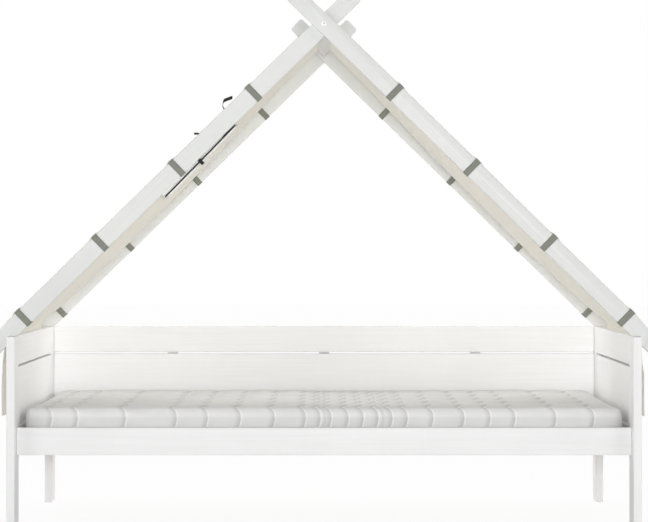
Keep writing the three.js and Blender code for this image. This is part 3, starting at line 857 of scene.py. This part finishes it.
def canvas(name, light, dark, clearness=cloth_clearness):
    """Plain cotton canvas with a stitched hem, which lets a share of the light through."""
    finish = Finish(name, Sheen_Weight=0.15, Sheen_Roughness=0.6, Specular_IOR_Level=0.2)
    flat = finish.flat_place()
    across, along, _ = finish.parts(flat)
    warp = finish.sine(across, thread_pitch)
    weft = finish.sine(along, thread_pitch)
    weave = warp * weft * 0.5 + 0.5
    slubs_across = finish.noise(finish.flat_place((slub_scale, slub_stretch, 1)), scale=1.0)
    slubs_along = finish.noise(finish.flat_place((slub_stretch, slub_scale, 1)), scale=1.0)
    slubs = (slubs_across + slubs_along) * 0.5
    creases = finish.noise(flat, scale=5.0, detail=4, roughness=0.6)
    edge = finish.attribute("edge_distance")
    hem_line = abs(edge - hem_width).rise(*stitch_edges)
    dashes = finish.sine(across + along, stitch_length).rise(-0.4, 0.1)
    stitches = hem_line * dashes
    folded = edge.rise(*[hem_width + step for step in hem_step])
    tone = slubs * 0.7 + creases * 0.45 + folded * 0.1 + stitches * 0.3
    finish.paint(
        Base_Color=finish.mix(tone.rise(0.3, 0.95), light, dark),
        Roughness=0.8 + weave * 0.15,
    )
    height = weave * 0.3 + slubs * 0.3 + folded * 0.6 - stitches * 0.5 + creases * 0.6
    finish.relief(height, canvas_depth, strength=0.6)
    if clearness:
        finish.let_light_through(light_through, clearness)
    return finish.material


outside_colours = shade(246, 244, 239), shade(234, 231, 223)
# Painted shade: the inside is the same canvas painted darker and warmer than the outside.
inside_shaded_colours = shade(202, 186, 152), shade(188, 172, 138)
# Painted light: the rolled flap is painted whiter than the rest of the canvas.
rolled_lit_colours = shade(252, 252, 250), shade(245, 244, 240)
canvas_outside = canvas("canvas_outside", *outside_colours)
canvas_inside = canvas("canvas_inside", *inside_shaded_colours)
rolled_outside = canvas("rolled_canvas_outside", *rolled_lit_colours, clearness=0)
rolled_inside = canvas("rolled_canvas_inside", *inside_shaded_colours, clearness=0)
print("canvas: threads", thread_pitch * 1000, "mm apart")

# %% Webbing and tape
strap_width = 0.021
strap_overlap = 0.024
cord_share = 1.3
worn_scale, fluff_scale = 60, 1800


def webbing(name, light, dark, rib_pitch, rib_height):
    """Tape woven with ribs across its width and a firm edge along each side."""
    finish = Finish(name, Sheen_Weight=0.1, Sheen_Roughness=0.4, Specular_IOR_Level=0.3)
    across, along, _ = finish.parts(finish.flat_place())
    ribs = finish.ripple(along, rib_pitch)
    cords = finish.ripple(across, rib_pitch * cord_share)
    worn = finish.noise(finish.flat_place((worn_scale, worn_scale, 1)), scale=1.0, detail=3)
    fluff = finish.noise(finish.flat_place((fluff_scale, fluff_scale, 1)), scale=1.0, detail=1)
    tone = ribs * cords * 0.5 + worn * 0.3 + fluff * 0.25
    finish.paint(
        Base_Color=finish.mix(tone.rise(0.15, 0.8), dark, light),
        Roughness=0.75 + fluff * 0.2,
    )
    finish.relief(ribs * 0.6 + cords * 0.4 + fluff * 0.2, rib_height, strength=0.8)
    return finish.material


strap_ribs = {"rib_pitch": 0.0021, "rib_height": 0.0004}
tape_ribs = {"rib_pitch": 0.0015, "rib_height": 0.0003}
grey_webbing = webbing("grey_webbing", shade(152, 154, 144), shade(128, 130, 121), **strap_ribs)
black_tape = webbing("black_tape", shade(58, 57, 54), shade(34, 33, 32), **tape_ribs)
pale_tape = webbing("pale_tape", shade(244, 242, 236), shade(226, 222, 213), **tape_ribs)
print("webbing: straps", strap_width * 1000, "mm wide")

# %% [markdown]
# ## The tent's cover
# One long strip of canvas runs from a hem outside one end of the bed, up over the ridge bar and
# down to a hem outside the other end. It lies on the poles at its two sides and hangs slack
# between them. At the foot of each slope it turns over the end panel without touching it and drops
# straight down as a flap, whose sides are drawn in a little below the turn. The strip is cut flat
# with its notches at the poles and its window, every point is moved to its place, and a short
# simulation lets the slack find its own folds. The flaps hang nearly still, so they may move only
# a fifth as far as the slopes.

# %% Sizes of the cover
def node_middle(node):
    low_corner, high_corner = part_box(node)
    return (low_corner + high_corner) / 2


left_straps = [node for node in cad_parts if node.startswith("strap_front_left")]
strap_places = sorted({round(slope_place(*node_middle(node).xz), 4) for node in left_straps})
cloth_thickness, cloth_room = 0.0012, 0.0007
on_bare_pole = pole_width / 2 + gap + cloth_room
strap_hump, edge_hump = 0.0019, 0.003
hump_half, hump_end = 0.0115, 0.0185
tuck, tuck_step, tuck_end = 0.012, 0.0015, 0.26
belly_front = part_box("pole_front_left")[1].y + 2 * gap + strap_thickness
belly_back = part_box("pole_back_right")[0].y - 2 * gap - strap_thickness
ridge_bar_side = 0.031
over_bar, over_panel, past_crossing = 0.001, 0.0015, 0.006
bar_edge_place = ridge_bar_side / 2 + gap
ridge_lift = ridge_bar_side / 2 + 2 * gap + over_bar
corner_place = slope_place(outer_x, panel_top)
corner_lift = slope_lift(outer_x, panel_top) + over_panel
corner_raise, raise_length, corner_draw = 0.0095, 0.16, 0.0155
belly, belly_power = 0.026, 2.5
crossing_cut = pole_width / 2 + past_crossing
foot_notch = 0.025
foot_cut = corner_place - foot_notch
flap_drop, flap_length = 0.262, 0.275
hem_z = panel_top - flap_drop
edge_standoffs, middle_standoff = {-1: 0.0250, 1: 0.0160}, 0.009
standoff_drops, edge_pinches = {-1: 0.11, 1: 0.13}, {-1: 0.002, 1: 0.0105}
flap_looseness = 0.2
fold_reach, ridge_reach = 0.011, 0.003
cover_half = corner_place + flap_length
cover_pitch = 0.0185

window_top, window_foot = 0.434, 0.779
window_near_inset, window_far_inset = 0.130, 0.360
window_near, window_far = front_y + window_near_inset, front_y + window_far_inset
cover_front, cover_back = belly_front - 2 * pole_step, belly_back + 2 * pole_step
print(f"cover: strip {2 * cover_half:.3f} m long, {cover_back - cover_front:.3f} m deep")


# %% Places on the cover
def mix_number(a, b, share):
    return a + (b - a) * share


def clamp(value, low=0.0, high=1.0):
    return max(low, min(high, value))


def belly_share(y):
    """0 at the poles and 1 midway between them."""
    across = clamp((y - belly_front) / (belly_back - belly_front))
    return 1 - (2 * across - 1) ** 2


def over_pole(place, y):
    """The lift on a pole: close to the wood, raised by each strap, let down beside the pole."""
    to_strap = min(abs(place - strap) for strap in strap_places)
    outer = clamp(max(belly_front - y, y - belly_back) / (pole_step - tuck_step))
    hump = (strap_hump + edge_hump * outer) * clamp((hump_end - to_strap) / (hump_end - hump_half))
    beside = clamp(min(y - belly_front, belly_back - y) / tuck_step)
    fade = clamp((tuck_end - place) / tuck_end)
    drawn = corner_draw * clamp((place - foot_cut) / (corner_place - foot_cut))
    return on_bare_pole + hump - tuck * fade * beside - drawn


def cover_lift(place, y):
    """How far the cover's middle layer is lifted off the poles' middle."""
    along = clamp((place - bar_edge_place) / (corner_place - bar_edge_place))
    slack = belly * (1 - abs(2 * along - 1) ** belly_power)
    near_foot = clamp((place - corner_place + raise_length) / raise_length) ** 2
    middle = mix_number(ridge_lift, corner_lift, along) - slack + corner_raise * near_foot
    return mix_number(over_pole(place, y), middle, belly_share(y))


def slope_point(side, place, y):
    return on_slope(side, place, cover_lift(place, y), y)


def flap_point(side, drop, y):
    """A place on a flap, which stands off the end panel and is pinched in below the turn."""
    top = slope_point(side, corner_place, y)
    standoff = mix_number(edge_standoffs[side], middle_standoff, belly_share(y))
    down = clamp(drop / standoff_drops[side])
    pinch = edge_pinches[side] * (1 - belly_share(y)) * 4 * down * (1 - down)
    x = mix_number(top.x, side * (outer_x + standoff), down) - side * pinch
    return Vector((x, y, mix_number(top.z, hem_z, drop / flap_length)))


def bend(before, corner, after, share):
    """A place on the curve that leaves before and reaches after, bending at the corner."""
    return before.lerp(corner, share).lerp(corner.lerp(after, share), share)


def cover_point(across, y):
    """Where the cover's strip lies, with soft bends over the ridge and the end panels."""
    side, place = (1 if across > 0 else -1), abs(across)
    if place < ridge_reach:
        top = Vector((0, y, crossing_height + cover_lift(0, y) / math.cos(pole_angle)))
        down = [slope_point(s, ridge_reach, y) for s in (-1, 1)]
        return bend(down[0], top, down[1], (across + ridge_reach) / (2 * ridge_reach))
    if abs(place - corner_place) < fold_reach:
        before = slope_point(side, corner_place - fold_reach, y)
        after = flap_point(side, fold_reach, y)
        share = (place - corner_place + fold_reach) / (2 * fold_reach)
        return bend(before, slope_point(side, corner_place, y), after, share)
    if place > corner_place:
        return flap_point(side, place - corner_place, y)
    return slope_point(side, place, y)


print("cover: the ridge's top at", round(cover_point(0.0, 0.0).z, 4))


# %% Cut edges of the cover
def cover_edges(across):
    """The depths between which the cover has cloth, at a distance from the ridge."""
    place, on_left = abs(across), across < 0
    if place < crossing_cut:
        return belly_front, belly_back
    front, back = belly_front - pole_step, belly_back + pole_step
    if place > foot_cut:
        return (belly_front, back) if on_left else (front, belly_back)
    return (front, cover_back) if on_left else (cover_front, back)


def in_window(across, y):
    return window_top < -across < window_foot and window_near < y < window_far


def has_cloth(across, y):
    front, back = cover_edges(across)
    return front < y < back and not in_window(across, y)


def edge_distance(across, y):
    """How far a point of the cover is from its nearest cut edge."""
    front, back = cover_edges(across)
    outside = max(window_top + across, -across - window_foot, window_near - y, y - window_far)
    return min(y - front, back - y, cover_half - abs(across), abs(outside))


print("cover: cloth at the ridge from", [round(y, 3) for y in cover_edges(0.0)])

# %% Cut and hang the cover
places = [ridge_reach, crossing_cut, foot_cut, corner_place - fold_reach, corner_place]
places += [corner_place + fold_reach, cover_half]
for strap in strap_places:
    places += [strap + reach for reach in (-hump_end, -hump_half, hump_half, hump_end)]
across_stops = sorted([0.0, *places, *[-p for p in places], -window_top, -window_foot])
front_stops = [cover_front, belly_front - pole_step, belly_front, belly_front + tuck_step]
back_stops = [belly_back - tuck_step, belly_back, belly_back + pole_step, cover_back]
depth_stops = sorted([*front_stops, window_near, window_far, *back_stops])
mesh = flat_cut(across_stops, depth_stops, cover_pitch, has_cloth)
cover_area = sum(face.calc_area() for face in mesh.faces)
edge_mark = mesh.verts.layers.float.new("edge_distance")
hold_margin = 0.001
cover_held, cover_shares = [], []
for vert in mesh.verts:
    across, y = vert.co.x, vert.co.y
    vert[edge_mark] = edge_distance(across, y)
    place = abs(across)
    cover_shares.append(1.0 if place < corner_place else flap_looseness)
    on_pole = y < belly_front + hold_margin or y > belly_back - hold_margin
    on_edge = place < bar_edge_place or abs(place - corner_place) < fold_reach + hold_margin
    cover_held.append(1.0 if (on_pole and place < corner_place) or on_edge else 0.0)
hang(mesh, cover_point)
cover = add_piece("tent_cover", mesh, bed_body, "tent_canvas", canvas_outside, canvas_inside)
slack = {"gravity": 0.12, "growth": 0.006, "stiffness": 25.0, "shares": cover_shares}
settle(cover, cover_held, frames=16, cap=0.006, **slack)
smooth_over(cover)
thicken(cover, cloth_thickness, inner_finish=1)
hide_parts("tent_cloth")
2 * cover_half
print(f"cover: {len(cover.data.vertices)} points, {cover_area:.3f} square metres of canvas")

# %% [markdown]
# ## Straps
# The cover is tied down by loops of grey webbing that go right round each pole. A loop is a flat
# band whose path turns tightly at the pole's corners, with its two ends sewn over each other on
# the side that faces into the tent. It stands off a little at the outer corner, where the
# cover's edge pulls at it. Every loop is made from the same flat band, and only the pole
# and the place down the slope differ.

# %% Tie the cover to the poles
webbing_thickness, webbing_gap = 0.0016, 0.0001
loop_turn = 0.003
loop_start, lap_start, lap_rise = -0.010, -0.017, -0.012
strap_pitch, strap_along_pitch = 0.0055, 0.0035
straps_per_pole = 4


def rounded_turn(points, radius, steps=4):
    """The points, with a short arc in place of every corner between the first and the last."""
    path = [points[0]]
    for before, corner, after in zip(points, points[1:], points[2:]):
        start = corner + (before - corner).normalized() * radius
        end = corner + (after - corner).normalized() * radius
        path += [bend(start, corner, end, i / steps) for i in range(steps + 1)]
    return [*path, points[-1]]


def loop_route():
    """The path of a strap round a pole, as lift and depth from the pole's middle."""
    lift = pole_width / 2 + gap + webbing_thickness / 2
    depth = pole_thickness / 2 + gap + webbing_thickness / 2
    over = depth + webbing_thickness + webbing_gap
    top = lift + edge_hump
    corners = [(loop_start, depth), (lift, depth), (top, -depth), (-lift, -depth), (-lift, depth)]
    laid_over = [(lap_start, depth), (lap_rise, over), (strap_overlap + lap_rise, over)]
    path = rounded_turn([Vector(c) for c in (*corners, laid_over[0])], loop_turn)
    return Route([*path, *[Vector(c) for c in laid_over[1:]]])


strap_route = loop_route()
strap_length = strap_route.marks[-1]
for side, sign in sides.items():
    for end in ends:
        pole_y = node_middle(f"pole_{end}_{side}").y
        inward = 1 if end == "front" else -1
        for number in range(1, straps_per_pole + 1):
            node = f"strap_{end}_{side}_{number}"
            place = slope_place(*node_middle(node).xz)
            stops = (-strap_width / 2, strap_width / 2), (0.0, strap_length)
            mesh = flat_cut(*stops, strap_pitch, along_pitch=strap_along_pitch)

            def on_loop(across, along):
                lift, depth = strap_route.at(along)
                return on_slope(sign, place + across, lift, pole_y + inward * depth)

            hang(mesh, on_loop)
            strap = add_piece(f"{node}_webbing", mesh, bed_body, "grey_webbing", grey_webbing)
            thicken(strap, webbing_thickness)
            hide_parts(node)
print(f"straps: {strap_length * 1000:.0f} mm of webbing in each loop")

# %% [markdown]
# ## The window in the left slope
# The window is an opening with tape folded over its edge. Its flap of canvas is rolled up
# along the far edge and held by a tie in the middle. The roll is a real spiral: the flap leaves
# the cover, goes over the top of the roll and winds inwards. The tape is a flat strip bent into a
# U round the edge, and it is mitred at the four corners as a tailor would do it. It is black
# along the roll, where it bunches up a little near the top, and pale along the other three sides.

# %% Roll up the window's flap
left = -1
roll_radius, roll_core, winding_pitch = 0.0100, 0.002, 0.00135
roll_raise, roll_inset = 0.0026, 0.0154
lead_gap, lead_end, lead_angle = 0.0004, (0.0112, -0.0002), 0.25
winding_step = 0.0022
flap_depth = 0.24
flap_thickness = 0.0009
tie_width, tie_thickness, tie_margin = 0.012, 0.0015, 0.001
roll_y = window_far - roll_inset
window_middle = (window_top + window_foot) / 2
window_room = 2 * gap
window_sag, sag_more, sag_reach = 0.0066, 0.1, 0.1


def window_lift(place, y):
    """The cover's lift at the window, which its roll weighs down, a little more at the foot."""
    down = 1 + sag_more * (place - window_middle) / (window_foot - window_middle)
    return cover_lift(place, y) - window_sag * down * clamp((y - window_near) / sag_reach)


def roll_lift(place):
    return window_lift(place, roll_y) + roll_raise


def spiral_route():
    """The path of the flap from the window's far edge into the roll, as depth and lift."""
    path = [Vector((window_far - roll_y - lead_gap, -roll_raise)), Vector(lead_end)]
    angle, radius, wound = lead_angle, roll_radius, 0.0
    while wound < flap_depth and radius > roll_core:
        path.append(Vector((radius * math.cos(angle), radius * math.sin(angle))))
        step = winding_step / radius
        angle += step
        wound += winding_step
        radius -= winding_pitch * step / math.tau
    return Route(path)


roll_route = spiral_route()
roll_length = roll_route.marks[-1]
flap_stops = [window_top + window_room, window_foot - window_room]
tie_stops = [
    window_middle - tie_width / 2 - tie_margin, window_middle + tie_width / 2 + tie_margin
]
tie_slot = 0.003
roll_pitch, roll_along_pitch = 0.03, 0.0028


def beside_tie(place, along):
    """The flap is cut out for the tie, where it leaves the window's edge."""
    return not (tie_stops[0] < place < tie_stops[1] and along < tie_slot)


flap_across = [flap_stops[0], *tie_stops, flap_stops[1]]
flap_along = [0.0, roll_route.marks[1] + tie_margin, roll_length]
mesh = flat_cut(flap_across, flap_along, roll_pitch, beside_tie, roll_along_pitch)
edge_mark = mesh.verts.layers.float.new("edge_distance")
roll_area = sum(face.calc_area() for face in mesh.faces)
for vert in mesh.verts:
    to_end = min(vert.co.x - flap_stops[0], flap_stops[1] - vert.co.x)
    vert[edge_mark] = min(to_end, roll_length - vert.co.y)


wander, wander_waves, wander_twist, wander_start = 0.0016, 2.3, 40, 0.03
squeeze, squeeze_reach, squeeze_start = 0.08, 0.02, 0.01


def on_roll(place, along):
    """A place on the roll, whose layers wander a little and are squeezed by the tie."""
    depth, lift = roll_route.at(along)
    share = (place - flap_stops[0]) / (flap_stops[1] - flap_stops[0])
    wave = math.sin(math.tau * wander_waves * share + along * wander_twist)
    aside = wander * wave * clamp(along / wander_start)
    near_tie = math.exp(-(((place - window_middle) / squeeze_reach) ** 2))
    width = 1 - squeeze * near_tie * clamp(along / squeeze_start)
    return on_slope(left, place + aside, roll_lift(place) + lift * width, roll_y + depth * width)


hang(mesh, on_roll)
roll = add_piece("window_roll", mesh, bed_body, "tent_canvas", rolled_outside, rolled_inside)
thicken(roll, flap_thickness, inner_finish=1)
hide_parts("window_flap_roll")
print(f"roll: {roll_length * 1000:.0f} mm of canvas wound up")

# %% Fold the tape over the window's edge
tape_thickness = 0.0009
tape_lap, tape_lift = 0.0036, 0.002
tape_turn, tape_reach = 0.0004, 0.0013
tape_pitch, tape_along_pitch = 0.002, 0.018
binding_inset = 0.0317
binding_far = window_far - binding_inset
upper_half = [(-tape_lap, tape_lift), (tape_turn, tape_lift)]
lower_half = [(across, -lift) for across, lift in reversed(upper_half)]
tape_section = Route([Vector(point) for point in (*upper_half, (tape_reach, 0.0), *lower_half)])
tape_width = tape_section.marks[-1]
bunch_inset, bunch_reach = 0.020, 0.044
bunch_height, bunch_lift = 1.6, 0.003
bunch_place = window_top + bunch_inset


def tape_corner(number, inset):
    """A corner of the window, moved inwards by the inset."""
    low_place, high_place = window_top + inset, window_foot - inset
    low_y, high_y = window_near + inset, binding_far - inset
    corners = [(high_place, high_y), (low_place, high_y), (low_place, low_y), (high_place, low_y)]
    return Vector(corners[number % 4])


runs = [(tape_corner(i + 1, 0) - tape_corner(i, 0)).length for i in range(4)]
tape_stops = [sum(runs[:i]) for i in range(5)]


def on_binding(across, along):
    """A place on the tape: along the window's edge, folded over it, and bunched near its top."""
    inset, lift = tape_section.at(across)
    number = next((i for i in range(3) if along < tape_stops[i + 1]), 3)
    share = (along - tape_stops[number]) / runs[number]
    place, y = tape_corner(number, inset).lerp(tape_corner(number + 1, inset), share)
    bunched = clamp(1 - abs(place - bunch_place) / bunch_reach) if number == 0 else 0.0
    lift = lift * (1 + bunch_height * bunched) + bunch_lift * bunched
    return on_slope(left, place, window_lift(place, y) + lift, y)


mesh = flat_cut(tape_section.marks, tape_stops, tape_pitch, along_pitch=tape_along_pitch)
for face in mesh.faces:
    face.material_index = 1 if face.calc_center_median().y > tape_stops[1] else 0
hang(mesh, on_binding)
binding = add_piece("window_binding_tape", mesh, bed_body, "black_webbing", black_tape, pale_tape)
thicken(binding, tape_thickness)
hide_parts("window_binding")
print(f"binding: {tape_stops[-1] * 1000:.0f} mm of tape, {tape_width * 1000:.0f} mm wide")

# %% [markdown]
# ## The window's ties
# The tie goes once round the roll and the tape, and its loose end stands up and bends over. A
# second loose ribbon is sewn on at the window's top corner. Both are the same black tape, and a
# thin tape keeps whatever curve it was last bent to, so each is laid along a smooth path.

# %% Tie the roll
tie_pitch, tie_along_pitch = 0.004, 0.0025
tail_rise, tail_reach = 0.083, 0.015
hook_rise, hook_reach = 0.0925, 0.041


def smooth_path(points, rounds=3):
    """The path with its corners cut off again and again, until it is a smooth curve."""
    for _ in range(rounds):
        cut = [points[0]]
        for a, b in zip(points, points[1:]):
            cut += [a.lerp(b, 0.25), a.lerp(b, 0.75)]
        points = [*cut, points[-1]]
    return points


def tape_piece(name, route, point, *nodes):
    """Black tape of the tie's width along a route, placed by point(across, along)."""
    stops = (-tie_width / 2, tie_width / 2), (0.0, route.marks[-1])
    mesh = flat_cut(*stops, tie_pitch, along_pitch=tie_along_pitch)
    hang(mesh, point)
    piece = add_piece(name, mesh, bed_body, "black_webbing", black_tape)
    thicken(piece, tie_thickness)
    for node in nodes:
        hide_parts(node)


def loose_end(root, reach, rise, shares, rounds=3):
    """A smooth way from the root, through shares of the reach sideways and of the rise."""
    corners = [root + Vector((x * reach, 0, z * rise)) for x, z in shares]
    return Route(smooth_path(corners, rounds))


def twisted(route, twist, more, start, length):
    """Places a tape along a route at a twist, with more of it from the start over a length."""

    def point(across, along):
        angle = twist + more * clamp((along - start) / length)
        return route.at(along) + Vector((0, math.cos(angle), math.sin(angle))) * across

    return point


tie_lift, tie_turn = 0.0135, 0.008
tie_before, tie_end, tie_end_raise = 0.0055, 0.003, 0.0002
tie_near = binding_far - window_far + roll_inset - tie_before - tie_thickness
tie_far = window_far - roll_y - lead_gap - tie_thickness / 2
corners = [(0.0, tie_lift), (tie_far, tie_lift), (tie_far, -tie_lift), (tie_near, -tie_lift)]
corners += [(tie_near, tie_lift), (tie_end, tie_lift + tie_end_raise)]
tie_loop = Route(rounded_turn([Vector(c) for c in corners], tie_turn))


def on_tie(across, along):
    depth, lift = tie_loop.at(along)
    return on_slope(left, window_middle + across, roll_lift(window_middle) + lift, roll_y + depth)


tape_piece("window_tie_tape", tie_loop, on_tie, "window_tie")
root = on_slope(left, window_middle, roll_lift(window_middle) + tie_lift + tie_thickness, roll_y)
tail_shares = [(0, 0), (0.5, 0.45), (0.8, 0.9), (0.5, 1), (-0.75, 1)]
tail_route = loose_end(root, tail_reach, tail_rise, tail_shares)
on_tail = twisted(tail_route, twist=0.3, more=0.3, start=0.07, length=0.02)
tape_piece("window_tie_tail", tail_route, on_tail)

hook_y = window_far + tie_width
hook_lift = cover_lift(window_top, hook_y) + cloth_thickness + tie_thickness
hook_root = on_slope(left, window_top, hook_lift, hook_y)
hook_shares = [(0, 0), (-0.86, 0.55), (-1.04, 0.66), (-0.97, 0.85), (-0.84, 0.9), (-0.2, 1)]
hook_route = loose_end(hook_root, hook_reach, hook_rise, hook_shares, rounds=2)
on_hook = twisted(hook_route, twist=0.35, more=0.95, start=0.08, length=0.015)
tape_piece("window_ribbon_tape", hook_route, on_hook, "window_ribbon")
print(f"tie: loop {tie_loop.marks[-1] * 1000:.0f} mm, tail {tail_route.marks[-1] * 1000:.0f} mm")

# %% [markdown]
# ## The bolts at the crossings
# Each pair of poles is held by one bolt into the end of the ridge bar. Its head has a low white
# cap, and steel shows in its hexagonal socket; the steel's grey is partly painted shade for the
# deep socket. A turned part like this is a profile spun round an axis; the socket's ring is then
# pushed out to six corners, which a spin alone can't make.

# %% White cap and steel
cap_depth = 0.00005
cap = Finish("white_cap", Specular_IOR_Level=0.4)
cap_cloud = cap.noise(cap.place(), scale=90.0)
cap_grit = cap.noise(cap.place(), scale=1500.0, detail=1)
cap.paint(
    Base_Color=cap.mix(cap_cloud, shade(250, 250, 249), shade(244, 244, 243)),
    Roughness=0.32 + cap_grit * 0.12,
)
cap.relief(cap_grit, cap_depth, strength=0.4)
# The socket's steel is real metal, and its grey is also painted shade for the deep recess.
steel = Finish("socket_steel", Metallic=0.9, Specular_IOR_Level=0.5)
steel_cloud = steel.noise(steel.place(), scale=400.0)
steel.paint(
    Base_Color=steel.mix(steel_cloud, shade(176, 176, 178), shade(150, 150, 152)),
    Roughness=0.35 + steel_cloud * 0.2,
)
print("bolt finishes:", len(cap.tree.nodes) + len(steel.tree.nodes), "nodes")

# %% Spin the bolts
bolt_radius, head_radius, head_height, head_seat = 0.004, 0.009, 0.0042, 0.004
socket_flat, socket_depth, socket_cone = 0.0030, 0.0026, 0.0006
rim_drop, rim_width, tip_chamfer = 0.0003, 0.0004, 0.001
dome_height, dome_angles = 0.0016, [math.radians(angle) for angle in (60, 40, 20, 0)]
axis_reach, socket_margin, below_top = 0.0005, 0.001, 0.0002
bolt_segments, spin_merge, crease_angle = 48, 0.000005, math.radians(35)


def bolt_profile(grip):
    """Half a bolt's outline, from the middle of its socket to its tip, as radius and height."""
    socket_floor = head_height - socket_depth
    profile = [(0, socket_floor - socket_cone), (socket_flat, socket_floor)]
    profile += [(socket_flat, head_height - rim_drop), (socket_flat + rim_width, head_height)]
    for angle in dome_angles:
        height = head_height - dome_height * (1 - math.sin(angle))
        profile.append((head_radius * math.cos(angle), height))
    profile += [(head_radius, 0.0), (bolt_radius, 0.0), (bolt_radius, tip_chamfer - grip)]
    return [*profile, (bolt_radius - tip_chamfer, -grip), (0, -grip)]


for end in ends:
    bolt_low, bolt_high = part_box(f"crossing_bolt_{end}")
    outward = -1 if end == "front" else 1
    seat = bolt_low.y + head_seat if end == "front" else bolt_high.y - head_seat
    mesh = bmesh.new()
    profile = bolt_profile(bolt_high.y - bolt_low.y - head_seat)
    rim = [mesh.verts.new((radius, height, 0)) for radius, height in profile]
    lines = [mesh.edges.new(pair) for pair in zip(rim, rim[1:])]
    bmesh.ops.spin(
        mesh,
        geom=[*rim, *lines],
        cent=(0, 0, 0),
        axis=(0, 1, 0),
        angle=math.tau,
        steps=bolt_segments,
        use_merge=True,
        use_duplicate=False,
    )
    bmesh.ops.remove_doubles(mesh, verts=mesh.verts, dist=spin_merge)
    for vert in mesh.verts:
        radius = math.hypot(vert.co.x, vert.co.z)
        if axis_reach < radius < socket_flat + socket_margin and vert.co.y > 0:
            turn = math.atan2(vert.co.z, vert.co.x) % (math.pi / 3) - math.pi / 6
            reach = 1 / math.cos(turn)
            vert.co.x *= reach
            vert.co.z *= reach
    if end == "front":
        bmesh.ops.rotate(mesh, verts=mesh.verts, matrix=Matrix.Rotation(math.pi, 3, "Z"))
    bmesh.ops.translate(mesh, verts=mesh.verts, vec=(0, seat, crossing_height))
    bmesh.ops.recalc_face_normals(mesh, faces=mesh.faces)
    face_top = seat + outward * head_height
    for face in mesh.faces:
        face.smooth = True
        at = face.calc_center_median()
        deep_in = (face_top - at.y) * outward > below_top
        near_axis = math.hypot(at.x, at.z - crossing_height) < socket_flat * 1.1
        face.material_index = 1 if deep_in and near_axis else 0
    for edge in mesh.edges:
        edge.smooth = not (edge.is_manifold and edge.calc_face_angle() > crease_angle)
    finishes = cap.material, steel.material
    bolt = add_piece(f"crossing_bolt_{end}_capped", mesh, bed_body, "white_cap", *finishes)
    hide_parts(f"crossing_bolt_{end}")
print("bolts: heads", head_radius * 2000, "mm across")

# %% [markdown]
# ## Print the size
# The soft pieces may stand a little proud of the solids, but not by much. The two boxes are
# written side by side so that they can be compared.

# %% Write the sizes
visual_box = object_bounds()
sizes = {"construction": cad_box, "visual": visual_box}
for name, box in sizes.items():
    print(name, [[round(value, 4) for value in corner] for corner in box])
